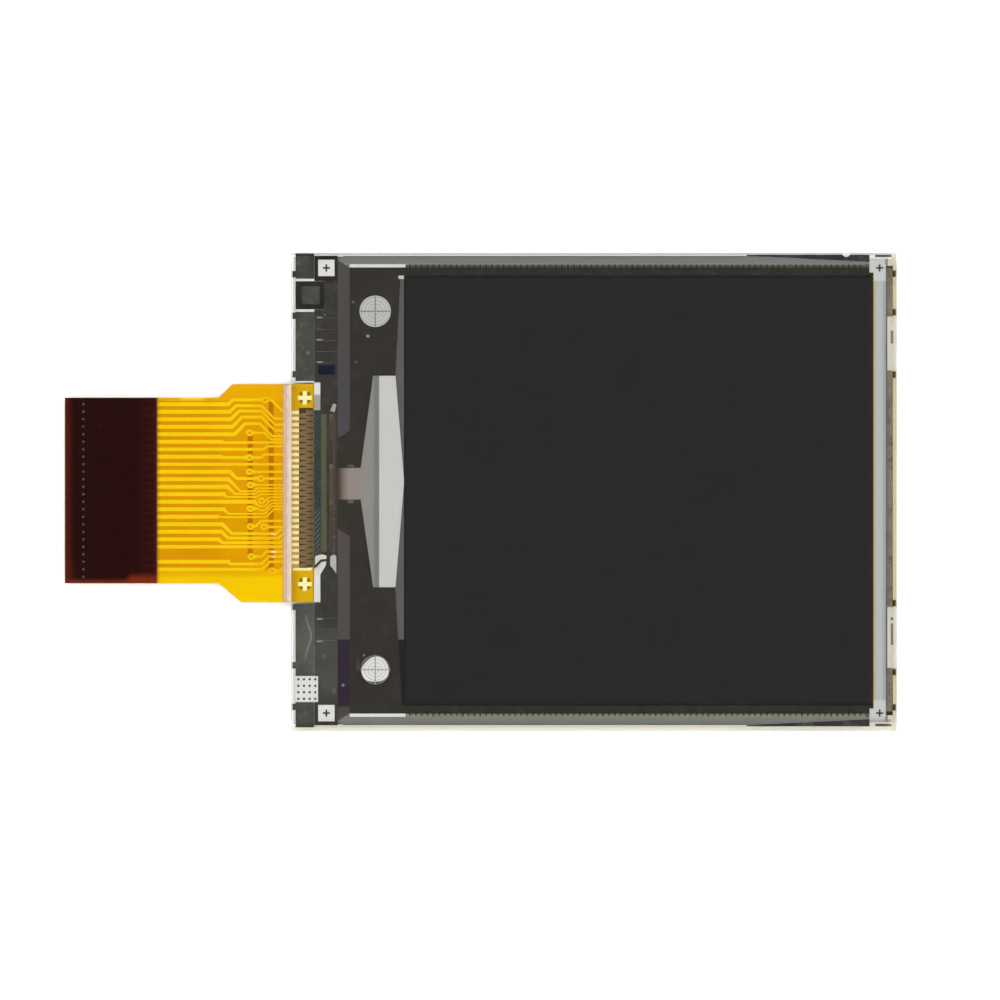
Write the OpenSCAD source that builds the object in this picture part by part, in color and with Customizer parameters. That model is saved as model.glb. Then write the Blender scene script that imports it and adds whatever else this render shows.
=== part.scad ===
// E-paper display module seen from the back: bare glass panel with a bonded flat tail.
// Millimetres. X runs along the panel away from the tail, Y across it, Z up out of the back.
// The viewing face lies on Z = 0, and X = 0 is the middle of the glass.

/* [Glass panel] */
// length of the glass along the tail direction
glass_length = 40.3; // [38:0.1:44]
// width of the glass across the tail
glass_width = 31.8; // [31:0.1:34]
// thickness of the glass
glass_thickness = 0.5; // [0.3:0.05:0.8]
// how much further the glass reaches below the pattern than above it
glass_drop = 0.1; // [0:0.01:0.12]
// where the chipped spot sits along the upper edge, from the middle
chip_spot_x = 16.7; // [-10:0.1:18]
// radius of the shell-shaped chipped spot
chip_spot_radius = 0.55; // [0.4:0.05:0.8]
// how far the chipped spot bites into the edge
chip_spot_bite = 0.15; // [0.05:0.05:0.25]

/* [Laminate] */
// thickness of the protective sheet
sheet_thickness = 0.25; // [0.15:0.05:0.4]
// thickness of the ink film
ink_thickness = 0.28; // [0.2:0.02:0.4]
// width of the sealant frame round the ink film
seal_width = 0.35; // [0.2:0.05:0.45]
// drawn thickness of the metal patterns on the glass
film_thickness = 0.02; // [0.01:0.005:0.04]
// clear gap between neighbouring metal areas
film_gap = 0.005; // [0.004:0.001:0.02]
// clear line between the ground strip, the ledge column and the framed pad
line_gap = 0.015; // [0.01:0.005:0.03]

/* [Metal pattern] */
// distance from the tail edge of the glass to the pixel field
ledge_length = 7.5; // [7.2:0.1:9]
// distance from the far edge of the glass to the pixel field
far_margin = 1.5; // [1.45:0.05:2.5]
// distance from the side edges of the glass to the pixel field
side_margin = 1.57; // [1.5:0.01:1.9]
// bare margin between the tail edge and the ground strip
edge_inset = 0.27; // [0.15:0.01:0.4]
// width of the ground strip on the tail edge
ground_strip_width = 1.24; // [1.2:0.02:1.4]
// width of the metal column beside the chip
ledge_column_width = 1.55; // [1.5:0.05:1.8]
// width of the line bundle that runs down the ledge
riser_width = 0.8; // [0.6:0.05:1]
// width of the dark band beside the pixel field
common_band_width = 0.54; // [0.4:0.02:0.6]
// length of the comb lines between the row bundle and the dark band
comb_length = 0.22; // [0.12:0.01:0.25]
// pitch of the comb lines
comb_pitch = 0.39; // [0.3:0.01:0.6]
// width of the row bundle along the side edges
row_width = 0.55; // [0.4:0.05:0.6]
// length of the tapered end of the row bundle
row_taper = 8.5; // [7:0.1:11]
// height of the edge tabs
tab_height = 0.43; // [0.3:0.01:0.6]
// width of the far guard strip
guard_width = 0.46; // [0.3:0.01:0.6]
// radius of the round windows over the silver dots
target_radius = 1.05; // [0.8:0.05:1.3]
// distance of the round windows from the centre line
target_y = 11.95; // [11:0.05:12.5]
// half height of the waisted window
waist_half = 7.05; // [6:0.05:8]
// offset of the waisted window from the centre line
waist_offset = 0.6; // [0:0.05:0.8]
// half height of the stem that joins the waisted window to the chip
stem_half = 1.05; // [0.7:0.05:1.3]
// offset of that stem from the centre line
stem_offset = 0.45; // [0:0.05:0.8]

/* [Driver chip] */
// length of the bare die
die_length = 9.4; // [9:0.1:9.8]
// width of the bare die
die_width = 1.2; // [1.1:0.05:1.4]
// thickness of the bare die
die_thickness = 0.28; // [0.2:0.02:0.35]
// width of the strips where the die shows beside its lead rows
die_window_width = 0.42; // [0.3:0.01:0.44]
// bumps in the row on the tail side
input_bump_count = 26; // [16:1:30]
// bumps in the row on the field side
output_bump_count = 48; // [30:1:60]
// thickness of the white coat round the die
sealant_thickness = 0.2; // [0.1:0.05:0.25]

/* [Flat tail] */
// reach of the tail beyond the glass
tail_reach = 15.1; // [13:0.1:20]
// contacts of the plug-in end
pin_count = 24; // [24:1:24]
// pitch of the contacts
pin_pitch = 0.5; // [0.48:0.01:0.52]
// width of one contact
contact_width = 0.35; // [0.25:0.01:0.4]
// length of the contacts
contact_length = 3.9; // [3:0.1:4.5]
// film left outside the last contact
tail_edge = 0.44; // [0.35:0.01:0.6]
// length of the stiffener
stiffener_length = 6.15; // [5:0.05:7]
// thickness of the stiffener
stiffener_thickness = 0.2; // [0.1:0.02:0.25]
// distance from the glass to the start of the shoulders
shoulder_out = 4.85; // [4.8:0.05:6]
// length of the upper shoulder
shoulder_upper_run = 0.9; // [0.5:0.1:1.5]
// length of the lower shoulder
shoulder_lower_run = 1.5; // [0.8:0.1:2]
// film above the first bond finger
head_upper_margin = 1.9; // [1.7:0.05:2.1]
// film below the last bond finger
head_lower_margin = 2.65; // [2.4:0.05:2.7]
// thickness of the base film
base_thickness = 0.05; // [0.025:0.005:0.06]
// thickness of the copper
copper_thickness = 0.02; // [0.012:0.002:0.03]
// thickness of the cover films
cover_thickness = 0.03; // [0.02:0.005:0.05]

/* [Bond] */
// overlap of the tail under the glass
bond_overlap = 1.46; // [1.4:0.01:1.48]
// number of bond fingers
bond_count = 26; // [20:1:27]
// pitch of the bond fingers
bond_pitch = 0.4; // [0.36:0.01:0.41]
// width of one bond finger
finger_width = 0.22; // [0.1:0.01:0.24]
// offset of the bond fingers from the centre line
bond_offset = 0.2; // [0:0.05:0.3]
// thickness of the bonding films
bond_film_thickness = 0.02; // [0.01:0.005:0.03]
// size of the glue bead along the glass edge
bead_radius = 0.5; // [0.3:0.02:0.5]

/* [Traces] */
// width of a trace at the plug-in end
trace_width = 0.26; // [0.2:0.01:0.28]
// width of a trace between its two jogs
mid_trace_width = 0.2; // [0.14:0.01:0.21]
// width of a trace at the glass
end_trace_width = 0.16; // [0.1:0.01:0.17]
// width of the close traces in the middle
fine_trace_width = 0.11; // [0.08:0.005:0.12]
// radius of a via pad
via_pad_radius = 0.23; // [0.15:0.01:0.24]
// radius of a via
via_radius = 0.1; // [0.05:0.01:0.14]
// width of the crossing buses on the lower side
bus_width = 0.3; // [0.2:0.01:0.4]

/* [Hidden] */
round_facets = 32;
edge_left = -glass_length / 2;
edge_right = glass_length / 2;
edge_side = glass_width / 2;

// Heights of the layers, from the viewing face up
z_ink = sheet_thickness;
z_film = z_ink + ink_thickness;
z_glass = z_film + film_thickness;
z_bond = z_film - bond_film_thickness;
z_copper = z_bond - copper_thickness;
z_base = z_copper - base_thickness;
z_under_copper = z_base - copper_thickness;
z_under_cover = z_under_copper - cover_thickness;
z_stiffener = z_bond + cover_thickness;

// Stations along the ledge, from the tail edge to the field
strip_x0 = edge_left + edge_inset;
strip_x1 = strip_x0 + ground_strip_width;
column_x0 = strip_x1 + line_gap;
column_x1 = column_x0 + ledge_column_width;
riser_x0 = column_x1 + film_gap;
riser_x1 = riser_x0 + riser_width;
common_x0 = riser_x1 + film_gap;
array_x0 = edge_left + ledge_length;
array_x1 = edge_right - far_margin;
fan_x1 = array_x0;

// Stations across the panel, from the field to the side edge
array_y = edge_side - side_margin;
band_y0 = array_y;
band_y1 = band_y0 + common_band_width;
row_y0 = band_y1 + comb_length;
row_y1 = row_y0 + row_width;
row_end_x = array_x1 - 0.27;
row_end_height = 0.15;
row_taper_x = row_end_x - row_taper;
comb_x0 = array_x0 + 0.1;
comb_tooth = comb_pitch * 0.55;
comb_count = floor((row_end_x - comb_x0) / comb_pitch);

// Far edge
guard_x1 = edge_right - 0.22;
guard_x0 = guard_x1 - guard_width;
guard_y = array_y + 0.65;
label_x0 = guard_x0 + 0.1;
label_y1 = edge_side - 4.3;
label_y0 = label_y1 - 3.6;
lower_label_extra = 0.22;
far_mark_x = (array_x1 + guard_x0) / 2;
function label_top(s) = label_y1 + (s > 0 ? 0 : lower_label_extra);
function label_bottom(s) = label_y0 - (s > 0 ? 0 : lower_label_extra);
function far_tabs(s) = [label_bottom(s) - 0.28, label_top(s) + 0.28, array_y + 0.12];

// Laminate outline
ink_x0 = common_x0;
ink_x1 = guard_x0 - film_gap;
ink_y = row_y0;
sheet_x0 = ink_x0 - seal_width;
sheet_x1 = ink_x1 + seal_width;
sheet_y = ink_y + seal_width;

// Waisted window and round windows in the dark column
waist_left_x = (common_x0 + fan_x1) / 2 - 0.25;
waist_right_x = fan_x1 - 0.57;
waist_neck_x = common_x0 + 0.73;
waist_split_x = waist_left_x + 0.4;
target_x = (common_x0 + fan_x1) / 2 - 0.11;
dot_radius = target_radius + 0.06;
dot_clearance = 0.04;
dot_floor = 0.06;
riser_upper_end = stem_offset + 3.05;
riser_lower_end = stem_offset - 3;
riser_slope = 0.5;

// Bond field and tail head
bond_half = (bond_count - 1) / 2 * bond_pitch;
bond_top = bond_offset + bond_half;
bond_bottom = bond_offset - bond_half;
tail_half = (pin_count - 1) / 2 * pin_pitch + tail_edge;
head_upper = max(bond_top + head_upper_margin, tail_half + 0.3);
head_lower = max(head_lower_margin - bond_bottom, tail_half + 0.3);
flex_x0 = edge_left - tail_reach;
flex_x1 = edge_left + bond_overlap;
shoulder_x = edge_left - shoulder_out;
cover_x1 = edge_left - 0.07;
trace_x1 = cover_x1 - 0.02;
finger_x0 = edge_left - 0.02;
finger_x1 = flex_x1 - 0.03;
cross_x = edge_left + 0.89;
cross_upper_y = bond_top + 0.98;
cross_lower_y = bond_bottom - 1.44;
cross_length = 0.9;
cross_width = 0.28;
long_finger_y = bond_bottom - 0.45;
pad_x0 = edge_left + 0.5;
pad_x1 = column_x0 - line_gap;
pad_slot = bond_pitch * 0.4;
pad_slit = 0.03;
zone_top = head_upper + 0.2;
zone_bottom = -head_lower - 0.1;
contact_via_x = flex_x0 + 1.2;
contact_x0 = flex_x0 + 0.1;

// Ledge windows and pads
mark_size = 1.1;
mark_arm = 0.48;
mark_width = 0.11;
mark_x = column_x0 + 0.8;
mark_y = edge_side - 1.06;
process_x1 = column_x0 + 0.68;
process_y1 = edge_side - 1.95;
process_y0 = process_y1 - 1.87;
process_gap = 0.17;
ledge_tabs = [zone_top + 0.45, process_y0 - 0.43, mark_y - 0.42];
ledge_zone = max(zone_top, -zone_bottom);
blue_pad_y = ledge_zone + 0.16;
blue_pad_half = 0.58;
blue_pad_height = 0.65;
blue_pad_top = blue_pad_y + blue_pad_height;
line_count = 5;
lower_line_count = 3;
line_start = 0.04;
line_x0 = column_x0 + 0.15;
line_width = 0.02;
line_bit_length = 0.42;
line_bit_width = 0.1;
side_window_width = 0.4;
code_x1 = column_x0 + 0.25;
code_y0 = 1.8 - edge_side;
code_y1 = code_y0 + 1.73;
code_rows = 4;
dot_size = 0.14;

// Driver chip
die_x0 = column_x0 + 0.24;
die_x1 = die_x0 + die_width;
die_window_x0 = column_x0 + 0.4;
die_window_x1 = die_window_x0 + die_window_width;
die_edge_x1 = die_x1 - 0.03;
die_edge_x0 = die_edge_x1 - die_window_width;
die_y = bond_offset + 0.3;
die_y0 = die_y - die_length / 2;
die_y1 = die_y + die_length / 2;
die_window_y0 = die_y0 + 0.1;
die_window_y1 = die_y1 - 0.1;
bump_length = 0.12;
bump_inset = 0.06;
bump_row_clearance = 0.03;
bump_span = die_length - 0.6;
pocket_clearance = 0.03;
crossing_lead = 0.16;

// Routes of the upper copper lines. Places across the tail count in contact pitches
// from the centre line, distances along it in millimetres out from the glass edge.
// [contact, first jog, place after it, second jog, place after it, close or not, via on it or 0]
routes = [
    [0, 4.2, 12.1, 1.35, 10.6, false, 1.75],
    [1, 4.1, 11.3, 2, 9.6, false, 0],
    [2, 4.05, 10.6, 2, 8.8, false, 0],
    [3, 3.95, 9.8, 2, 8.0, false, 0],
    [4, 3.8, 8.9, 2.1, 7.25, false, 0],
    [5, 4.65, 6.4, 1.6, 6.4, false, 0],
    [6, 4.65, 5.5, 1.85, 5.9, false, 0],
    [7, 4.65, 4.4, 2, 4.8, false, 2.8],
    [8, 4.65, 3.5, 2, 3.5, false, 0],
    [9, 4.1, 1.6, 2, 1.6, false, 2.05],
    [10, 4.2, -0.1, 2.5, 0.3, true, 0],
    [11, 4.25, -0.45, 2.4, -0.1, true, 0],
    [12, 4.5, -0.85, 2.3, -0.5, true, 0],
    [13, 2.45, -2.1, 1.8, -1.3, true, 0],
    [14, 4.5, -3.1, 1.8, -2.1, true, 0],
    [15, 4.85, -3.55, 1.7, -2.5, true, 0],
    [16, 4.6, -5.75, 1, -5.25, false, 0],
    [17, 4.65, -6.35, 0.85, -5.8, false, 0],
    [18, 4.85, -6.95, 0.75, -6.55, false, 0],
    [19, 4.85, -7.5, 0.65, -7.2, false, 0],
    [21, 4.2, -9.8, 2, -8.8, false, 0],
    [22, 4.65, -10.5, 1.95, -9.5, false, 0]
];
// Lines that start at a via: [distance out, place, place after it, second jog, place after it, close or not]
via_routes = [
    [2.8, 7.7, 7.7, 1.8, 6.8, false],
    [2.8, 2.5, 2.5, 1.8, 2.5, false],
    [2.75, 0.75, 0.75, 1.8, 0.75, true],
    [2, -1.35, -1.35, 1.7, -0.9, true],
    [2.75, -2.42, -2.65, 1.8, -1.7, true],
    [2.75, -4.8, -4.8, 2.4, -4.05, false],
    [1.85, -4.85, -4.85, 1.3, -4.85, false],
    [2.7, -8.8, -8.8, 2, -8.15, false],
    [1.3, -10.7, -10.7, 0.75, -10.1, false]
];
via_reach = 0.5;
via_eye_share = 0.75;
bus_near_out = 1.36;
bus_far_out = 2.76;
bus_parting_out = 2.6;
via_places = concat(
    [for (r = routes) if (r[6] > 0) [r[6], r[2]]],
    [for (v = via_routes) [v[0], v[1]]]
);
near_places = [for (v = via_places) if (v[0] < bus_parting_out) v[1]];
far_places = [for (v = via_places) if (v[0] > bus_parting_out) v[1]];

// Geometry helpers
function across(place) = place * pin_pitch;
function pin_y(k) = ((pin_count - 1) / 2 - k) * pin_pitch;
function out_x(distance) = edge_left - distance;
function side_normal(a, b) =
    let (d = [b.x - a.x, b.y - a.y])
    [-d.y, d.x] / norm(d);
function corner(path, i) =
    i == 0 ? side_normal(path[0], path[1])
    : i == len(path) - 1 ? side_normal(path[i - 1], path[i])
    : let (
        a = side_normal(path[i - 1], path[i]),
        b = side_normal(path[i], path[i + 1])
    )
    (a + b) / (1 + a * b);
function ribbon_side(path, s) =
    [for (i = [0 : len(path) - 1]) [path[i].x, path[i].y] + corner(path, i) * s * path[i].z / 2];
function reversed(list) = [for (i = [len(list) - 1 : -1 : 0]) list[i]];
function ribbon(path) = concat(ribbon_side(path, 1), reversed(ribbon_side(path, -1)));
function jog(x, from, to, w0, w1) =
    from == to ? [] : [[x, from, w0], [x + abs(to - from), to, w1]];

// Pad round a via as a widening of the line: s = -1 before the via, s = 1 after it
function pad_points(x, y, s) =
    [for (k = [[0, 2], [0.45, 1.8], [0.8, 1.25]]) [x + s * k[0] * via_pad_radius, y, k[1] * via_pad_radius]];
function lens(x, y, w) =
    concat(
        [[x - via_reach, y, w]],
        reversed(pad_points(x, y, -1)),
        [for (k = [1, 2]) pad_points(x, y, 1)[k]],
        [[x + via_reach * 0.6, y, w]]
    );

// Path of a line that starts at contact r[0]
function route_path(r) =
    let (
        y0 = pin_y(r[0]),
        y1 = across(r[2]),
        y2 = across(r[4]),
        w1 = r[5] ? fine_trace_width : mid_trace_width,
        w2 = r[5] ? fine_trace_width : end_trace_width
    )
    concat(
        [[contact_via_x - 0.15, y0, trace_width]],
        jog(out_x(r[1]), y0, y1, trace_width, w1),
        r[6] > 0 ? lens(out_x(r[6]), y1, w1) : [],
        jog(out_x(r[3]), y1, y2, w1, w2),
        [[trace_x1, y2, w2]]
    );
// Path of a line that starts at a via
function via_path(v) =
    let (
        x0 = out_x(v[0]),
        y0 = across(v[1]),
        y1 = across(v[2]),
        y2 = across(v[4]),
        reach = min(via_reach, v[0] - v[3] - 0.06),
        w = v[5] ? fine_trace_width : end_trace_width
    )
    concat(
        [[x0 - via_pad_radius, y0, via_pad_radius * 0.8]],
        [for (k = [1, 0]) pad_points(x0, y0, -1)[k]],
        [for (k = [1, 2]) pad_points(x0, y0, 1)[k]],
        [[x0 + reach, y0, w]],
        jog(x0 + reach + 0.05, y0, y1, w, w),
        jog(out_x(v[3]), y1, y2, w, w),
        [[trace_x1, y2, w]]
    );

module slab(z, t) {
    translate([0, 0, z])
        linear_extrude(height = t)
            children();
}

module block(x0, x1, y0, y1) {
    translate([x0, min(y0, y1)])
        square([x1 - x0, abs(y1 - y0)]);
}

module plus(x, y, arm, width) {
    translate([x, y])
        union() {
            square([arm, width], center = true);
            square([width, arm], center = true);
        }
}

// The same outline on the upper (s = 1) or lower (s = -1) side of the centre line
function flip(points, s) = [for (p = points) [p.x, s * p.y]];

// Glass
module backplane_glass() {
    color([0.8, 0.88, 0.86, 0.35])
        difference() {
            translate([edge_left, -edge_side - glass_drop, z_glass])
                cube([glass_length, glass_width, glass_thickness]);
            translate([
                chip_spot_x,
                edge_side - glass_drop + chip_spot_radius - chip_spot_bite,
                z_glass + glass_thickness
            ])
                sphere(r = chip_spot_radius, $fn = round_facets);
        }
}

// Metal patterns on the inner face of the glass
module pixel_array() {
    color([0.17, 0.17, 0.17])
        slab(z_film, film_thickness)
            block(array_x0, array_x1, -array_y, array_y);
}

// Comb between a row bundle and the dark band: a dark tooth fills each space between two row teeth
comb_side = film_gap;
comb_tip = film_gap;
function dark_tooth_points(i, s) =
    let (
        x0 = comb_x0 + i * comb_pitch + comb_tooth + comb_side,
        x1 = comb_x0 + (i + 1) * comb_pitch - comb_side
    )
    flip([[x0, band_y1], [x0, row_y0 - comb_tip], [x1, row_y0 - comb_tip], [x1, band_y1]], s);

// Small clear window where the upper band meets the pixel field, and the grey triangles below and above it
field_window_length = 0.37;
field_window_height = 0.23;
fan_upper_width = 0.24;
fan_lower_width = 0.15;
corner_cut = 0.2;

// Dark metal above (s = 1) or below (s = -1) the stem of the waisted window
function common_half(s) =
    let (
        waist_y = waist_offset + s * waist_half,
        stem_y = stem_offset + s * stem_half,
        end_y = (s > 0 ? riser_upper_end : riser_lower_end) - s * film_gap
    )
    concat(
        [[common_x0, s * band_y1]],
        [for (i = [0 : comb_count - 2], p = dark_tooth_points(i, s)) p],
        [
            [row_end_x, s * band_y1],
            [row_end_x, s * (band_y0 + corner_cut)],
            [array_x1, s * (band_y0 + corner_cut)],
            [array_x1, s * band_y0]
        ],
        s > 0 ? [
            [fan_x1 - field_window_length, band_y0],
            [fan_x1 - field_window_length, band_y0 - field_window_height],
            [fan_x1 - fan_upper_width, band_y0 - field_window_height]
        ] : [[fan_x1 - fan_lower_width, -band_y0]],
        [
            [waist_right_x, waist_y],
            [waist_left_x, waist_y],
            [waist_neck_x, stem_y],
            [riser_x0, stem_y],
            [riser_x0, end_y],
            [common_x0, end_y + s * riser_slope]
        ]
    );

module common_electrode() {
    color([0.21, 0.21, 0.19])
        slab(z_film, film_thickness)
            for (s = [1, -1])
                difference() {
                    polygon(common_half(s));
                    translate([target_x, s * target_y])
                        circle(r = target_radius, $fn = round_facets);
                }
}

// Outline of one row bundle with its comb
row_corner = 0.27;
function comb_tooth_points(i) =
    let (x = comb_x0 + i * comb_pitch, tip = band_y1 + comb_tip)
    [[x, row_y0], [x, tip], [x + comb_tooth, tip], [x + comb_tooth, row_y0]];
function taper_y(x) = row_y1 + (row_y0 + row_end_height - row_y1) * (x - row_taper_x) / row_taper;
function row_outline() =
    concat(
        [
            [riser_x0 + 0.4, row_y1],
            [riser_x0, row_y1 - row_corner],
            [riser_x1, row_y0 - comb_length],
            [riser_x1, row_y0]
        ],
        [for (i = [0 : comb_count - 1], p = comb_tooth_points(i)) p],
        [[row_end_x, row_y0], [row_end_x, taper_y(row_end_x)], [row_taper_x, row_y1]]
    );

module row_lines() {
    color([0.46, 0.47, 0.45])
        slab(z_film, film_thickness)
            for (s = [1, -1])
                polygon(flip(row_outline(), s));
}

function riser_half(s) =
    let (end_y = s > 0 ? riser_upper_end : riser_lower_end)
    [
        [riser_x0, s * (row_y1 - row_corner - film_gap)],
        [riser_x1, s * (row_y0 - comb_length - film_gap)],
        [riser_x1, end_y + s * riser_slope],
        [riser_x0, end_y]
    ];

module row_risers() {
    color([0.33, 0.31, 0.3])
        slab(z_film, film_thickness)
            for (s = [1, -1])
                polygon(riser_half(s));
}

module column_fanout() {
    waist_top = waist_offset + waist_half - film_gap;
    waist_bottom = waist_offset - waist_half + film_gap;
    color([0.45, 0.45, 0.43])
        slab(z_film, film_thickness) {
            polygon([
                [waist_left_x + film_gap, waist_top],
                [waist_split_x, waist_top],
                [waist_split_x, waist_bottom],
                [waist_left_x + film_gap, waist_bottom],
                [waist_neck_x + film_gap, stem_offset - stem_half],
                [waist_neck_x + film_gap, stem_offset + stem_half]
            ]);
            block(
                riser_x0 + film_gap, waist_neck_x,
                stem_offset - stem_half + film_gap, stem_offset + stem_half - film_gap
            );
            polygon([
                [fan_x1, band_y0 - field_window_height],
                [fan_x1 - fan_upper_width + film_gap, band_y0 - field_window_height],
                [waist_right_x + film_gap, waist_top],
                [fan_x1, waist_offset + 0.15]
            ]);
            polygon([
                [fan_x1, film_gap - band_y0],
                [fan_x1 - fan_lower_width + film_gap, film_gap - band_y0],
                [waist_right_x + film_gap, waist_bottom],
                [fan_x1, waist_offset - 0.15]
            ]);
        }
}

module edge_tab(x0, x1, y) {
    block(x0, x1, y - tab_height / 2, y + tab_height / 2);
}

module ground_ring() {
    strip_end = edge_side - glass_drop - 0.02;
    wedge_y = edge_side - 0.19;
    wedge_x = row_taper_x + 0.3;
    color([0.28, 0.28, 0.26])
        slab(z_film, film_thickness)
            union() {
                // strips of the tail edge, broken by the framed pad, the bond zone and the dot window
                block(strip_x0, strip_x1, process_y1 + process_gap, strip_end);
                block(strip_x0, strip_x1, zone_top, process_y0 - process_gap);
                block(strip_x0, strip_x1, code_y1 + film_gap, zone_bottom);
                block(strip_x0, strip_x1, -strip_end, code_y0 - film_gap);
                for (s = [1, -1]) {
                    for (y = ledge_tabs)
                        edge_tab(edge_left + 0.06, strip_x0 + 0.1, s * y);
                    for (y = far_tabs(s))
                        edge_tab(guard_x1 - 0.1, edge_right - 0.03, s * y);
                    // wedge outside the tapered end of the row bundle, and the corner bar
                    polygon(flip([
                        [wedge_x, wedge_y],
                        [row_end_x, wedge_y],
                        [row_end_x, taper_y(row_end_x) + film_gap],
                        [wedge_x, taper_y(wedge_x) + film_gap]
                    ], s));
                    block(array_x1 + 0.1, guard_x1 - 0.1, s * (wedge_y - 0.16), s * wedge_y);
                }
                // far strip, narrower beside its label windows
                difference() {
                    block(guard_x0, guard_x1, -guard_y, guard_y);
                    for (s = [1, -1])
                        block(label_x0, guard_x1 + 1, s * label_bottom(s), s * label_top(s));
                }
            }
}

module ledge_windows() {
    // register windows
    for (s = [1, -1])
        translate([mark_x, s * mark_y])
            square(mark_size, center = true);
    // places of the framed pad, the blue-black pad and the dot window
    block(column_x0 - 1, process_x1 + line_gap, process_y0 - line_gap, process_y1 + line_gap);
    block(mark_x - blue_pad_half, mark_x + blue_pad_half, blue_pad_y, blue_pad_y + blue_pad_height);
    block(column_x0 - 1, code_x1, code_y0, code_y1);
    // clear windows at the ends of the bond zone, the lower one crossed by a lead of the die
    block(column_x0 - 1, column_x0 + side_window_width, bond_top + 0.15, zone_top - 0.1);
    difference() {
        polygon([
            [column_x0 - 1, zone_bottom + 0.1],
            [column_x0 + side_window_width, zone_bottom + 0.1],
            [column_x0 + side_window_width, bond_bottom - 0.8],
            [die_window_x1 - 0.06, bond_bottom - 0.2],
            [die_window_x1, bond_bottom + 0.45],
            [die_window_x1 - 0.28, die_y0 - 0.06],
            [column_x0 + 0.25, die_y0 - 0.1],
            [column_x0 - 1, bond_bottom - 0.1]
        ]);
        polygon(ribbon([
            [column_x0 - 2, bond_bottom - 0.25, crossing_lead],
            [column_x0 + 0.1, bond_bottom - 0.25, crossing_lead],
            [column_x0 + 0.45, bond_bottom + 0.12, crossing_lead],
            [die_window_x1 + 0.5, bond_bottom + 0.22, crossing_lead]
        ]));
    }
    // strips where the die shows
    block(die_window_x0, die_window_x1, die_window_y0, die_window_y1);
    block(die_edge_x0, die_edge_x1, die_window_y0, die_window_y1);
    // small slanted windows at the ends of the die
    polygon([
        [column_x1 - 0.5, bond_top + 0.1],
        [column_x1 - 0.3, bond_top + 0.6],
        [column_x1 - 0.06, bond_top + 0.55],
        [column_x1 - 0.2, bond_top + 0.02]
    ]);
    polygon([
        [column_x1 - 0.5, bond_bottom + 0.4],
        [column_x1 - 0.25, die_y0 - 0.06],
        [column_x1 - 0.06, bond_bottom + 0.4],
        [column_x1 - 0.06, bond_bottom - 0.8],
        [column_x1 - 0.25, bond_bottom - 0.5],
        [column_x1 - 0.5, bond_bottom - 0.2]
    ]);
    // thin parting lines from the blue-black pad to the framed one, every other one with a wider start
    for (k = [0 : line_count - 1])
        for (s = [1, -1])
            if (s > 0 || k < lower_line_count) {
                y = blue_pad_top + (k / line_count + line_start) * (process_y0 - blue_pad_top);
                block(line_x0, column_x1 + 1, s * y, s * (y + line_width));
                if (k % 2 == 0)
                    block(line_x0, line_x0 + line_bit_length, s * y, s * (y + line_bit_width));
            }
}

module ledge_pads() {
    column_end = edge_side - 0.25;
    color([0.22, 0.22, 0.2])
        slab(z_film, film_thickness)
            difference() {
                block(column_x0, column_x1, -column_end, column_end);
                ledge_windows();
            }
}

module process_pads() {
    frame_wall = 0.36;
    color([0.13, 0.14, 0.19])
        slab(z_film, film_thickness) {
            difference() {
                block(strip_x0, process_x1, process_y0, process_y1);
                difference() {
                    block(
                        strip_x0 + frame_wall, process_x1 - frame_wall,
                        process_y0 + frame_wall, process_y1 - frame_wall
                    );
                    block(
                        strip_x0 + frame_wall + film_gap, process_x1 - frame_wall - film_gap,
                        process_y0 + frame_wall + film_gap, process_y1 - frame_wall - film_gap
                    );
                }
            }
            block(
                mark_x - blue_pad_half + film_gap, mark_x + blue_pad_half - film_gap,
                blue_pad_y + film_gap, blue_pad_y + blue_pad_height - film_gap
            );
        }
}

// Stations of one bond pad: [share of its length, step towards the next finger, slot to the next pad].
// Each pad starts between two fingers and shifts half a pitch,
// so the tapered slots stand in two staggered rows.
pad_stations = [
    [0, -0.5, pad_slot],
    [0.52, -0.5, pad_slit],
    [0.44, 0, pad_slit],
    [1, 0, pad_slot]
];
function pad_side(y, side) =
    [for (k = pad_stations)
        [pad_x0 + k[0] * (pad_x1 - pad_x0), y + k[1] * bond_pitch + side * (bond_pitch - k[2]) / 2]];

module bond_pads() {
    color([0.54, 0.45, 0.31])
        slab(z_film, film_thickness)
            for (i = [0 : bond_count - 1]) {
                y = bond_top - i * bond_pitch;
                polygon(concat(pad_side(y, 1), reversed(pad_side(y, -1))));
            }
}

module register_marks() {
    dash_x0 = label_x0 + 0.22;
    dash_width = 0.16;
    color([0.2, 0.2, 0.19])
        slab(z_film, film_thickness) {
            for (s = [1, -1]) {
                plus(mark_x, s * mark_y, mark_arm, mark_width);
                plus(far_mark_x, s * mark_y, mark_arm, mark_width);
            }
            // a dash in the upper label window, a dot and a longer dash in the lower one
            block(dash_x0, dash_x0 + dash_width, label_y1 - 1.8, label_y1 - 0.95);
            block(dash_x0, dash_x0 + dash_width, -label_y0 - 0.65, -label_y0 - 0.45);
            block(dash_x0, dash_x0 + dash_width, -label_y0 - 2.3, -label_y0 - 0.85);
            for (i = [0 : code_rows - 1], j = [0 : code_rows - 1])
                translate([
                    strip_x0 + (i + 0.5) / code_rows * (code_x1 - strip_x0),
                    code_y0 + (j + 0.5) / code_rows * (code_y1 - code_y0)
                ])
                    square(dot_size, center = true);
        }
}

module target_rings() {
    ring_width = 0.04;
    union() {
        for (k = [1 : 4])
            difference() {
                circle(r = target_radius * k / 4.6 + ring_width, $fn = round_facets);
                circle(r = target_radius * k / 4.6, $fn = round_facets);
            }
        square([2 * target_radius - 0.1, 0.08], center = true);
        square([0.08, 2 * target_radius - 0.1], center = true);
    }
}

module contact_rings() {
    color([0.45, 0.45, 0.43])
        slab(z_film, film_thickness)
            for (s = [1, -1])
                translate([target_x, s * target_y])
                    target_rings();
}

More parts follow.
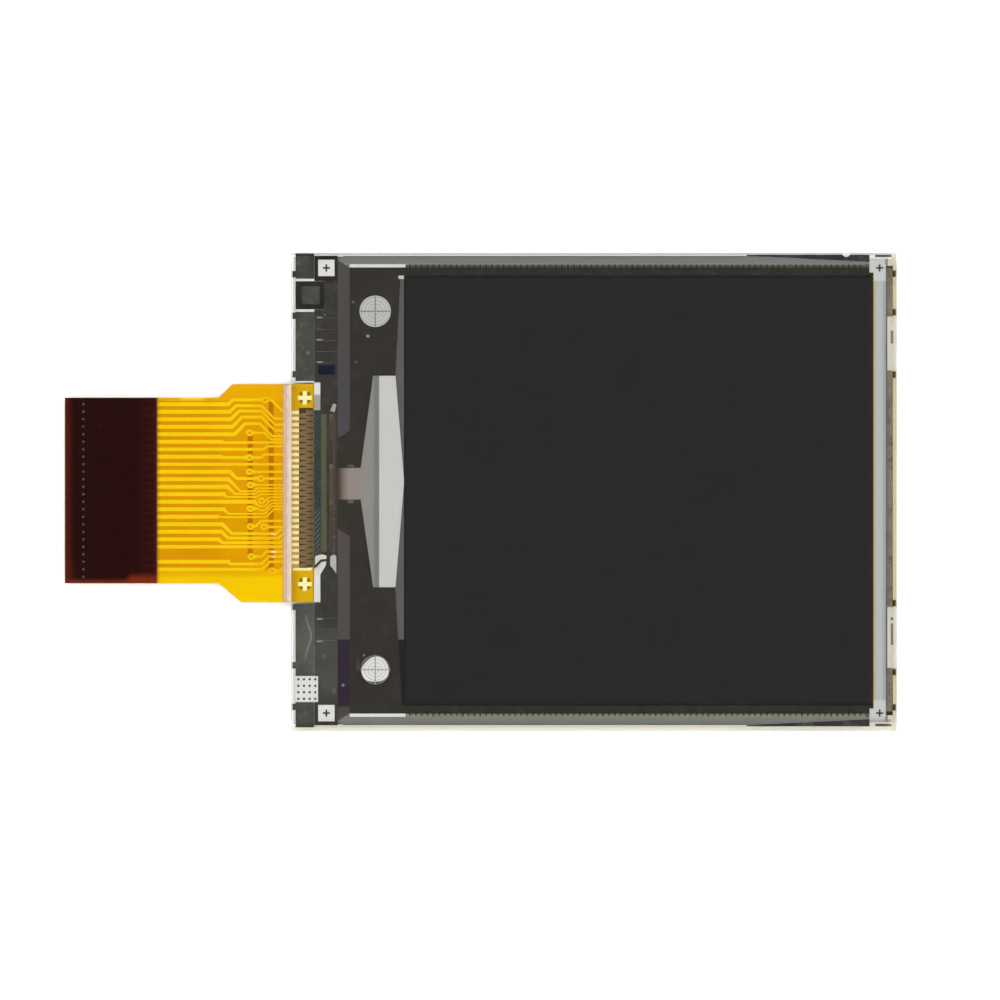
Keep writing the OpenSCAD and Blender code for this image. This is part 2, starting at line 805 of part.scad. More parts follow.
// Laminate in front of the glass. The lower dot is a smaller dab, a little out of round.
dab_radius = target_radius * 0.83;
function dab_point(a) =
    dab_radius * (1 + 0.05 * cos(2 * a - 40) + 0.05 * cos(3 * a + 110)) * [cos(a), sin(a)];

module silver_dots() {
    color([0.8, 0.81, 0.8])
        slab(z_ink + dot_floor, ink_thickness - dot_floor) {
            translate([target_x, target_y])
                circle(r = dot_radius, $fn = round_facets);
            translate([target_x, -target_y])
                polygon([for (i = [0 : round_facets - 1]) dab_point(360 * i / round_facets)]);
        }
}

module ink_film() {
    color([0.79, 0.79, 0.77])
        difference() {
            slab(z_ink, ink_thickness)
                block(ink_x0, ink_x1, -ink_y, ink_y);
            for (s = [1, -1])
                translate([target_x, s * target_y, z_ink + dot_floor])
                    cylinder(r = dot_radius + dot_clearance, h = ink_thickness, $fn = round_facets);
        }
}

module edge_seal() {
    color([0.88, 0.88, 0.85])
        slab(z_ink, ink_thickness)
            difference() {
                block(sheet_x0, sheet_x1, -sheet_y, sheet_y);
                block(ink_x0, ink_x1, -ink_y, ink_y);
            }
}

module protective_sheet() {
    color([0.9, 0.91, 0.9])
        slab(0, sheet_thickness)
            block(sheet_x0, sheet_x1, -sheet_y, sheet_y);
}

module ledge_sealant() {
    coat_x0 = edge_left + 0.12;
    coat_x1 = sheet_x0 - 0.05;
    coat_y = edge_side - 0.3;
    color([0.9, 0.9, 0.87])
        slab(z_film - sealant_thickness, sealant_thickness)
            difference() {
                polygon([
                    [coat_x0, coat_y],
                    [coat_x1, coat_y],
                    [coat_x1, -coat_y],
                    [coat_x0, -coat_y],
                    [coat_x0, zone_bottom],
                    [flex_x1 + 0.04, zone_bottom],
                    [flex_x1 + 0.04, zone_top - 0.1],
                    [coat_x0, zone_top - 0.1]
                ]);
                block(
                    die_x0 - pocket_clearance, die_x1 + pocket_clearance,
                    die_y0 - pocket_clearance, die_y1 + pocket_clearance
                );
            }
}

// Driver chip
module driver_chip() {
    color([0.3, 0.31, 0.33])
        slab(z_bond - die_thickness, die_thickness)
            block(die_x0, die_x1, die_y0, die_y1);
}

module bump_row(x, count) {
    step = bump_span / (count - 1);
    for (i = [0 : count - 1])
        translate([x, die_y - bump_span / 2 + i * step])
            square([bump_length, step * 0.55], center = true);
}

module chip_bumps() {
    color([0.85, 0.7, 0.35])
        slab(z_bond, bond_film_thickness) {
            bump_row(die_x0 + bump_inset + bump_length / 2, input_bump_count);
            bump_row(die_x1 - bump_inset - bump_length / 2, output_bump_count);
        }
}

module bump_slot(x) {
    block(
        x - bump_length / 2 - bump_row_clearance, x + bump_length / 2 + bump_row_clearance,
        die_y - bump_span / 2 - 0.2, die_y + bump_span / 2 + 0.2
    );
}

module chip_bond_film() {
    color([0.34, 0.36, 0.26])
        slab(z_bond, bond_film_thickness)
            difference() {
                block(die_x0, die_x1, die_y0, die_y1);
                bump_slot(die_x0 + bump_inset + bump_length / 2);
                bump_slot(die_x1 - bump_inset - bump_length / 2);
            }
}

// Flat tail
module tail_outline(x1) {
    polygon([
        [flex_x0, tail_half],
        [shoulder_x, tail_half],
        [shoulder_x + shoulder_upper_run, head_upper],
        [x1, head_upper],
        [x1, -head_lower],
        [shoulder_x + shoulder_lower_run, -head_lower],
        [shoulder_x, -tail_half],
        [flex_x0, -tail_half]
    ]);
}

module via_spots(r) {
    for (v = via_places)
        translate([out_x(v[0]), across(v[1])])
            circle(r = r, $fn = round_facets);
    for (p = routes)
        translate([contact_via_x, pin_y(p[0])])
            circle(r = r, $fn = round_facets);
}

module flex_base() {
    color([0.85, 0.6, 0.05])
        slab(z_base, base_thickness)
            difference() {
                tail_outline(flex_x1);
                via_spots(via_radius);
            }
}

module flex_vias() {
    color([0.8, 0.6, 0.25])
        slab(z_base, base_thickness)
            via_spots(via_radius);
}

module via_eye(v) {
    translate([out_x(v[0]), across(v[1])])
        circle(r = via_radius * via_eye_share, $fn = round_facets);
}

module flex_traces() {
    color([1, 0.78, 0.1])
        slab(z_copper, copper_thickness) {
            for (r = routes)
                difference() {
                    polygon(ribbon(route_path(r)));
                    if (r[6] > 0)
                        via_eye([r[6], r[2]]);
                }
            for (v = via_routes)
                difference() {
                    polygon(ribbon(via_path(v)));
                    via_eye(v);
                }
        }
}

module flex_bond_fingers() {
    color([0.93, 0.85, 0.55])
        slab(z_copper, copper_thickness) {
            for (i = [0 : bond_count - 1])
                block(
                    finger_x0, finger_x1,
                    bond_top - i * bond_pitch - finger_width / 2,
                    bond_top - i * bond_pitch + finger_width / 2
                );
            block(edge_left + 0.1, finger_x1 - 0.1, long_finger_y - 0.08, long_finger_y + 0.08);
            plus(cross_x, cross_upper_y, cross_length, cross_width);
            plus(cross_x, cross_lower_y, cross_length, cross_width);
        }
}

module flex_crossovers() {
    near_x = out_x(bus_near_out);
    far_x = out_x(bus_far_out);
    color([0.72, 0.42, 0.05])
        slab(z_under_copper, copper_thickness)
            union() {
                block(
                    near_x - bus_width / 2, near_x + bus_width / 2,
                    across(min(near_places)), across(max(near_places))
                );
                block(
                    far_x - bus_width / 2, far_x + bus_width / 2,
                    across(min(far_places)), across(max(far_places))
                );
                for (v = via_places)
                    translate([out_x(v[0]), across(v[1])])
                        circle(r = via_pad_radius, $fn = round_facets);
            }
}

module flex_contacts() {
    color([0.9, 0.75, 0.35])
        slab(z_under_copper, copper_thickness)
            for (k = [0 : pin_count - 1])
                block(
                    contact_x0, contact_x0 + contact_length,
                    pin_y(k) - contact_width / 2, pin_y(k) + contact_width / 2
                );
}

module flex_top_cover() {
    color([0.95, 0.68, 0.05, 0.55])
        slab(z_bond, cover_thickness)
            tail_outline(cover_x1);
}

module flex_bottom_cover() {
    cover_x0 = contact_x0 + contact_length + 0.1;
    color([0.9, 0.62, 0.05, 0.7])
        slab(z_under_cover, cover_thickness)
            intersection() {
                tail_outline(cover_x1);
                block(cover_x0, cover_x1, -head_lower, head_upper);
            }
}

module flex_stiffener() {
    color([0.16, 0.06, 0.05])
        slab(z_stiffener, stiffener_thickness)
            block(flex_x0, flex_x0 + stiffener_length, -tail_half, tail_half);
}

module flex_bond_film() {
    color([0.5, 0.42, 0.26])
        slab(z_bond, bond_film_thickness)
            block(pad_x0, finger_x1, bond_bottom - 0.3, bond_top + 0.3);
}

module edge_bead() {
    bead_end = 0.04;
    color([0.87, 0.8, 0.74])
        translate([edge_left, bead_end - head_lower, z_stiffener])
            rotate([-90, 0, 0])
                linear_extrude(height = head_upper + head_lower - 2 * bead_end)
                    intersection() {
                        circle(r = bead_radius, $fn = round_facets);
                        translate([-1, -1])
                            square(1);
                    }
}

backplane_glass();
pixel_array();
common_electrode();
row_lines();
row_risers();
column_fanout();
ground_ring();
ledge_pads();
process_pads();
bond_pads();
register_marks();
contact_rings();
silver_dots();
ink_film();
edge_seal();
protective_sheet();
ledge_sealant();
driver_chip();
chip_bumps();
chip_bond_film();
flex_base();
flex_vias();
flex_traces();
flex_bond_fingers();
flex_crossovers();
flex_contacts();
flex_top_cover();
flex_bottom_cover();
flex_stiffener();
flex_bond_film();
edge_bead();
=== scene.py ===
import math

import bmesh
import bpy
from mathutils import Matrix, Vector


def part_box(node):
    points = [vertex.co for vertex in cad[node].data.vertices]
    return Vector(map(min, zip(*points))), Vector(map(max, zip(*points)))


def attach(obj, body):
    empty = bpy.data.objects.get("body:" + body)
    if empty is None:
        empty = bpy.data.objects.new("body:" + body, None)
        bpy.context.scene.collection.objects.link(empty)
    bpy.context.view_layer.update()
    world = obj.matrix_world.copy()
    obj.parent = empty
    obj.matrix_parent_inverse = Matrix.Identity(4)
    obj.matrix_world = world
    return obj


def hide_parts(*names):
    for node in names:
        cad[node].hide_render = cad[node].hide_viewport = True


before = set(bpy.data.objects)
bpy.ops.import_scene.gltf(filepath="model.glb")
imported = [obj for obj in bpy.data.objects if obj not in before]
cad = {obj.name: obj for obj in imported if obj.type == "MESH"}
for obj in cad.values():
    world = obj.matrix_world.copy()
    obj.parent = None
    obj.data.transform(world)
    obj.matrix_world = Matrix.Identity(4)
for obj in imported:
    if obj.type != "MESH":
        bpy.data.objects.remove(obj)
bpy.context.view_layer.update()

# The scene is in metres. Sizes and places below are in millimetres, and FAR is past every edge of the part.
MM = 0.001
FAR = 100.0

# Most of a noise pattern lies between these two values, and a wave pattern of scale 1 has this length
NOISE_LOW, NOISE_HIGH = 0.3, 0.7
WAVE_LENGTH = 2 * math.pi / 20

# Corners of the CAD nodes that places are taken from
corners = {name: [Vector(corner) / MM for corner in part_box(name)] for name in cad}
glass_low, glass_high = corners["backplane_glass"]
field_low, field_high = corners["pixel_array"]
ledge_low, ledge_high = corners["ledge_pads"]
rows_low, rows_high = corners["row_lines"]
ink_low, ink_high = corners["ink_film"]
bonds_low, bonds_high = corners["bond_pads"]
die_low, die_high = corners["driver_chip"]
cover_low, cover_high = corners["flex_top_cover"]
board_low, board_high = corners["flex_stiffener"]
bead_low, bead_high = corners["edge_bead"]
riser_low = corners["row_risers"][0]
ring_high = corners["ground_ring"][1]
fingers_high = corners["flex_bond_fingers"][1]


def colour(code):
    """Linear colour of an sRGB hex value."""
    parts = [int(code[i:i + 2], 16) / 255 for i in (0, 2, 4)]
    return tuple(c / 12.92 if c <= 0.04045 else ((c + 0.055) / 1.055) ** 2.4 for c in parts) + (1.0,)


def add(tree, kind, sockets=None, **settings):
    """Adds one node with its settings, and fills its sockets with values or other nodes' outputs."""
    made = tree.nodes.new(kind)
    for name, value in settings.items():
        setattr(made, name, value)
    for name, value in (sockets or {}).items():
        if isinstance(value, bpy.types.NodeSocket):
            tree.links.new(value, made.inputs[name])
        else:
            made.inputs[name].default_value = value
    return made


def new_finish(name, **sockets):
    """A material with one Principled shader. Gives the material, its tree, its shader, and the place on the
    part in millimetres."""
    material = bpy.data.materials.new(name)
    material.use_nodes = True
    tree = material.node_tree
    tree.nodes.clear()
    shader = add(tree, "ShaderNodeBsdfPrincipled", {k.replace("_", " "): v for k, v in sockets.items()})
    add(tree, "ShaderNodeOutputMaterial", {"Surface": shader.outputs[0]})
    spot = add(tree, "ShaderNodeTexCoord")
    place = add(tree, "ShaderNodeVectorMath", {0: spot.outputs["Object"], 1: (1 / MM,) * 3},
                operation="MULTIPLY")
    return material, tree, shader, place.outputs[0]


def inside(tree, place, x0, x1, y0, y1, edge=0.03):
    """A mask that is 1 inside a rectangle of the part and 0 outside, with soft, rounded edges."""
    middle = ((x0 + x1) / 2, (y0 + y1) / 2, 0)
    half = (max((x1 - x0) / 2 - edge, 0), max((y1 - y0) / 2 - edge, 0), FAR)
    off = add(tree, "ShaderNodeVectorMath", {0: place, 1: middle}, operation="SUBTRACT")
    size = add(tree, "ShaderNodeVectorMath", {0: off.outputs[0]}, operation="ABSOLUTE")
    past = add(tree, "ShaderNodeVectorMath", {0: size.outputs[0], 1: half}, operation="SUBTRACT")
    out = add(tree, "ShaderNodeVectorMath", {0: past.outputs[0], 1: (0, 0, 0)}, operation="MAXIMUM")
    away = add(tree, "ShaderNodeVectorMath", {0: out.outputs[0]}, operation="LENGTH")
    mask = add(tree, "ShaderNodeMapRange", {"Value": away.outputs["Value"], "From Min": 2 * edge,
                                            "From Max": 0.0}, interpolation_type="SMOOTHSTEP")
    return mask.outputs[0]


def zoned(tree, place, tone, zones):
    """Lays the tones of rectangular zones over a base tone. A zone is a tone and what inside takes: the
    rectangle's two X, its two Y, and how soft its edge is."""
    shown = colour(tone)
    for code, *rectangle in zones:
        mask = inside(tree, place, *rectangle)
        shown = add(tree, "ShaderNodeMix", {0: mask, 6: shown, 7: colour(code)},
                    data_type="RGBA").outputs[2]
    return shown


def around(code, x, y, half, edge):
    """A square zone round a place."""
    return (code, x - half, x + half, y - half, y + half, edge)


def mirrored(code, x0, x1, y0, y1, edge):
    """Two zones of one tone: one above the centre line, and the same one below it."""
    return [(code, x0, x1, y0, y1, edge), (code, x0, x1, -y1, -y0, edge)]


def varied(tree, shown, pattern, depth):
    """Makes a colour darker and lighter by up to this share, as a noise pattern falls and rises."""
    level = add(tree, "ShaderNodeMapRange", {"Value": pattern, "From Min": NOISE_LOW, "From Max": NOISE_HIGH,
                                             "To Min": 1 - depth, "To Max": 1 + depth})
    return add(tree, "ShaderNodeHueSaturation", {"Value": level.outputs[0], "Color": shown}).outputs[0]


def surface(tree, shader, shown, pattern, rough, spread, relief, **settings):
    """Gives the shader its colour, and a roughness and a relief that follow a pattern."""
    tree.links.new(shown, shader.inputs["Base Color"])
    sheen = add(tree, "ShaderNodeMapRange", {"Value": pattern, "To Min": rough - spread,
                                             "To Max": rough + spread})
    tree.links.new(sheen.outputs[0], shader.inputs["Roughness"])
    bump = add(tree, "ShaderNodeBump", {"Height": pattern, "Distance": relief * MM}, **settings)
    tree.links.new(bump.outputs[0], shader.inputs["Normal"])


def dusted(tree, place, shown, code, share, cell, grain, core, most):
    """Dust: a share of the cells of this size hold one grain of this radius. Its core has the most of the
    tone, and it fades from there."""
    cells = add(tree, "ShaderNodeTexVoronoi", {"Vector": place, "Scale": 1 / cell})
    near = add(tree, "ShaderNodeMapRange", {"Value": cells.outputs["Distance"], "From Min": grain / cell,
                                            "From Max": core * grain / cell, "To Max": most})
    draw = add(tree, "ShaderNodeSeparateColor", {0: cells.outputs["Color"]})
    chosen = add(tree, "ShaderNodeMath", {0: draw.outputs[0], 1: share}, operation="LESS_THAN")
    both = add(tree, "ShaderNodeMath", {0: near.outputs[0], 1: chosen.outputs[0]}, operation="MULTIPLY")
    return add(tree, "ShaderNodeMix", {0: both.outputs[0], 6: shown, 7: colour(code)},
               data_type="RGBA").outputs[2]


# Finishes of the panel. The metal lies on the inner face of the glass and is seen through it.
def stained(tree, place, shown, code):
    """Blotches that the etch bath left on the metal."""
    blotch = 0.8
    bath = add(tree, "ShaderNodeTexNoise", {"Vector": place, "Scale": 1 / blotch, "Detail": 6.0,
                                            "Roughness": 0.72})
    where = add(tree, "ShaderNodeMapRange", {"Value": bath.outputs[0], "From Min": 0.48,
                                             "From Max": NOISE_HIGH}, interpolation_type="SMOOTHSTEP")
    return add(tree, "ShaderNodeMix", {0: where.outputs[0], 6: shown, 7: colour(code)},
               data_type="RGBA").outputs[2]


def wiped(tree, place, shown, code, x, sway, y0, y1):
    """A wiped trail of residue along Y that sways once along its length."""
    fade = 0.12
    spot = add(tree, "ShaderNodeSeparateXYZ", {0: place})
    turn = add(tree, "ShaderNodeMapRange", {"Value": spot.outputs[1], "From Min": y0, "From Max": y1,
                                            "To Min": -0.5 * math.pi, "To Max": 1.5 * math.pi})
    bend = add(tree, "ShaderNodeMath", {0: turn.outputs[0]}, operation="SINE")
    line = add(tree, "ShaderNodeMath", {0: bend.outputs[0], 1: sway, 2: x}, operation="MULTIPLY_ADD")
    off = add(tree, "ShaderNodeMath", {0: spot.outputs[0], 1: line.outputs[0]}, operation="SUBTRACT")
    span = add(tree, "ShaderNodeMath", {0: off.outputs[0]}, operation="ABSOLUTE")
    wipe = add(tree, "ShaderNodeMapRange", {"Value": span.outputs[0], "From Min": fade, "From Max": 0.0,
                                            "To Max": 0.7}, interpolation_type="SMOOTHSTEP")
    along = inside(tree, place, x - 1, x + 1, y0, y1, 0.3)
    both = add(tree, "ShaderNodeMath", {0: wipe.outputs[0], 1: along}, operation="MULTIPLY")
    return add(tree, "ShaderNodeMix", {0: both.outputs[0], 6: shown, 7: colour(code)},
               data_type="RGBA").outputs[2]


def leaded(tree, place, shown, code, slant, *rectangle):
    """Slanted leads from the bond pads to the die. Real ones are 0.05 mm wide, and these are drawn at a
    pitch of 0.34 mm so that they show."""
    pitch = 0.34
    swept = add(tree, "ShaderNodeVectorMath", {0: place, 1: (slant, 1, 0)}, operation="MULTIPLY")
    parts = add(tree, "ShaderNodeSeparateXYZ", {0: swept.outputs[0]})
    level = add(tree, "ShaderNodeMath", {0: parts.outputs[0], 1: parts.outputs[1]}, operation="ADD")
    way = add(tree, "ShaderNodeCombineXYZ", {1: level.outputs[0]})
    wave = add(tree, "ShaderNodeTexWave", {"Vector": way.outputs[0], "Scale": WAVE_LENGTH / pitch,
                                           "Distortion": 1.6, "Detail": 1.0, "Detail Scale": 0.4},
               bands_direction="Y")
    thin = add(tree, "ShaderNodeMapRange", {"Value": wave.outputs[1], "From Min": 0.6, "From Max": 1.0,
                                            "To Max": 0.4})
    zone = inside(tree, place, *rectangle)
    both = add(tree, "ShaderNodeMath", {0: thin.outputs[0], 1: zone}, operation="MULTIPLY")
    return add(tree, "ShaderNodeMix", {0: both.outputs[0], 6: shown, 7: colour(code)},
               data_type="RGBA").outputs[2]


def sputtered_metal(name, tone, zones=(), cloud=0.06, lines=None, stain=None, specks=0.0, trail=None,
                    leads=()):
    """Sputtered and etched metal film: dull and dark through the glass, faintly clouded, with bundles of
    lines too fine to see singly, stains of the etch bath and a few pinholes."""
    # the edge tint keeps the film dark at low angles, as it is under glass
    material, tree, shader, place = new_finish(name, Metallic=0.7, Specular_IOR_Level=0.1,
                                               Specular_Tint=colour("aaaaaa"))
    shown = zoned(tree, place, tone, zones)
    if stain:
        shown = stained(tree, place, shown, stain)
    if trail:
        shown = wiped(tree, place, shown, *trail)
    for lead in leads:
        shown = leaded(tree, place, shown, *lead)
    haze_size = 1.3
    haze = add(tree, "ShaderNodeTexNoise", {"Vector": place, "Scale": 1 / haze_size, "Detail": 8.0,
                                            "Roughness": 0.74})
    level = add(tree, "ShaderNodeMapRange", {"Value": haze.outputs[0], "From Min": NOISE_LOW,
                                             "From Max": NOISE_HIGH, "To Min": 1 - cloud,
                                             "To Max": 1 + cloud}).outputs[0]
    if lines:
        # the real lines are some hundredths of a millimetre wide; they are drawn coarser so that they show
        axis, pitch, depth = lines
        wave = add(tree, "ShaderNodeTexWave", {"Vector": place, "Scale": WAVE_LENGTH / pitch},
                   bands_direction=axis)
        ridge = add(tree, "ShaderNodeMapRange", {"Value": wave.outputs[1], "To Min": 1 - depth,
                                                 "To Max": 1 + depth})
        level = add(tree, "ShaderNodeMath", {0: level, 1: ridge.outputs[0]},
                    operation="MULTIPLY").outputs[0]
    shown = add(tree, "ShaderNodeHueSaturation", {"Value": level, "Color": shown}).outputs[0]
    if specks:
        shown = dusted(tree, place, shown, "7a7b75", share=specks, cell=1.3, grain=0.09, core=0.3, most=0.6)
    surface(tree, shader, shown, haze.outputs[0], rough=0.5, spread=0.08, relief=0.0005)
    return material


def fine_grain(name, tone, zones=(), grain=0.3, depth=0.05, relief=0.004, rough=0.55, **sockets):
    """Paste that was dispensed or printed and cured, or ground silicon: matt and faintly lumpy, with grains
    of this size."""
    material, tree, shader, place = new_finish(name, **sockets)
    shown = zoned(tree, place, tone, zones)
    lumps = add(tree, "ShaderNodeTexNoise", {"Vector": place, "Scale": 1 / grain, "Detail": 5.0,
                                             "Roughness": 0.6})
    shown = varied(tree, shown, lumps.outputs[0], depth)
    surface(tree, shader, shown, lumps.outputs[0], rough, spread=0.1, relief=relief)
    return material


def capsule_coat(name, tone, zones=(), rough=0.5):
    """Coated layer of ink capsules: pale grey and matt, finely cellular. The capsules of 0.05 mm are drawn
    at 0.12 mm so that they show."""
    material, tree, shader, place = new_finish(name)
    shown = zoned(tree, place, tone, zones)
    capsule = 0.12
    cells = add(tree, "ShaderNodeTexVoronoi", {"Vector": place, "Scale": 1 / capsule})
    level = add(tree, "ShaderNodeMapRange", {"Value": cells.outputs["Distance"], "To Min": 1.02,
                                             "To Max": 0.96})
    shown = add(tree, "ShaderNodeHueSaturation", {"Value": level.outputs[0], "Color": shown}).outputs[0]
    surface(tree, shader, shown, cells.outputs["Distance"], rough, spread=0.1, relief=0.002, invert=True)
    return material


def rolled_metal(name, tone, zones=(), metallic=0.9, rough=0.32):
    """Rolled or plated copper, bare or flashed with gold: a warm satin with a fine grain along the tail."""
    material, tree, shader, place = new_finish(name, Metallic=metallic, Specular_IOR_Level=0.2)
    shown = zoned(tree, place, tone, zones)
    grain = 0.08
    drawn = add(tree, "ShaderNodeVectorMath", {0: place, 1: (0.25, 1, 1)}, operation="MULTIPLY")
    roll = add(tree, "ShaderNodeTexNoise", {"Vector": drawn.outputs[0], "Scale": 1 / grain, "Detail": 3.0})
    shown = varied(tree, shown, roll.outputs[0], depth=0.05)
    surface(tree, shader, shown, roll.outputs[0], rough, spread=0.08, relief=0.001)
    return material


def polyimide_film(name, tone, zones=(), rough=0.16, veil=None):
    """Cast polyimide film: clear amber gloss with faint streaks along the web it was cast on. A film that
    is seen through has a veil: its share of the colour, then the share and zone where glue has crept on."""
    material, tree, shader, place = new_finish(name, IOR=1.7, Specular_IOR_Level=0.2)
    shown = zoned(tree, place, tone, zones)
    streak_width = 0.7
    drawn = add(tree, "ShaderNodeVectorMath", {0: place, 1: (0.3, 1, 1)}, operation="MULTIPLY")
    streak = add(tree, "ShaderNodeTexNoise", {"Vector": drawn.outputs[0], "Scale": 1 / streak_width,
                                              "Detail": 4.0})
    shown = varied(tree, shown, streak.outputs[0], depth=0.04)
    surface(tree, shader, shown, streak.outputs[0], rough, spread=0.05, relief=0.002)
    if veil:
        least, most, *rectangle = veil
        crept = inside(tree, place, *rectangle)
        share = add(tree, "ShaderNodeMapRange", {"Value": crept, "To Min": least, "To Max": most})
        tree.links.new(share.outputs[0], shader.inputs["Alpha"])
    return material


# Places that the finishes share
# fan of the column lines: its light strip, its stem, and the triangle beside the field
bow_x0 = field_low.x - 2.0
bow_x1 = field_low.x - 1.66
stem_x1 = field_low.x - 2.88
triangle_x = bow_x1 + 0.5
low_riser_end = -9.93
# silver dots: half the width of the ring pattern over them, and of the lines of its cross
dot_x = field_low.x - 1.92
dot_y = 11.95
ring_half = 0.95
cross_half = 0.06
# ink film: where its near lip begins, and half its height
lip_x = ink_low.x + 0.06
ink_half = 14.8
# tabs of the ground ring, and where the film under the die turns from olive to brown
tab_x = ring_high.x - 0.22
brown_x = die_high.x - 0.5
# bond of the tail, and windows in the ledge metal where the coat behind is dim
bond_y0, bond_y1 = bonds_low.y, bonds_high.y
dim_windows = ((7.4, 12.0), (-10.4, -7.5))
# tail: buses of the lower copper, the start of the head, the crosses under the glass and the half width of
# the painted shade round each
bus_half = 0.17
near_bus_x = glass_low.x - 1.36
far_bus_x = glass_low.x - 2.76
head_x = glass_low.x - 4.85
mark_x = glass_low.x + 0.89
mark_y = 6.21
cross_shade_half = 0.36
# spans in Y of the glints painted on the copper lines near the glass
painted_glint_spans = ((-3.04, -2.9), (-4.17, -4.03), (-4.57, -4.43), (-5.0, -4.83))

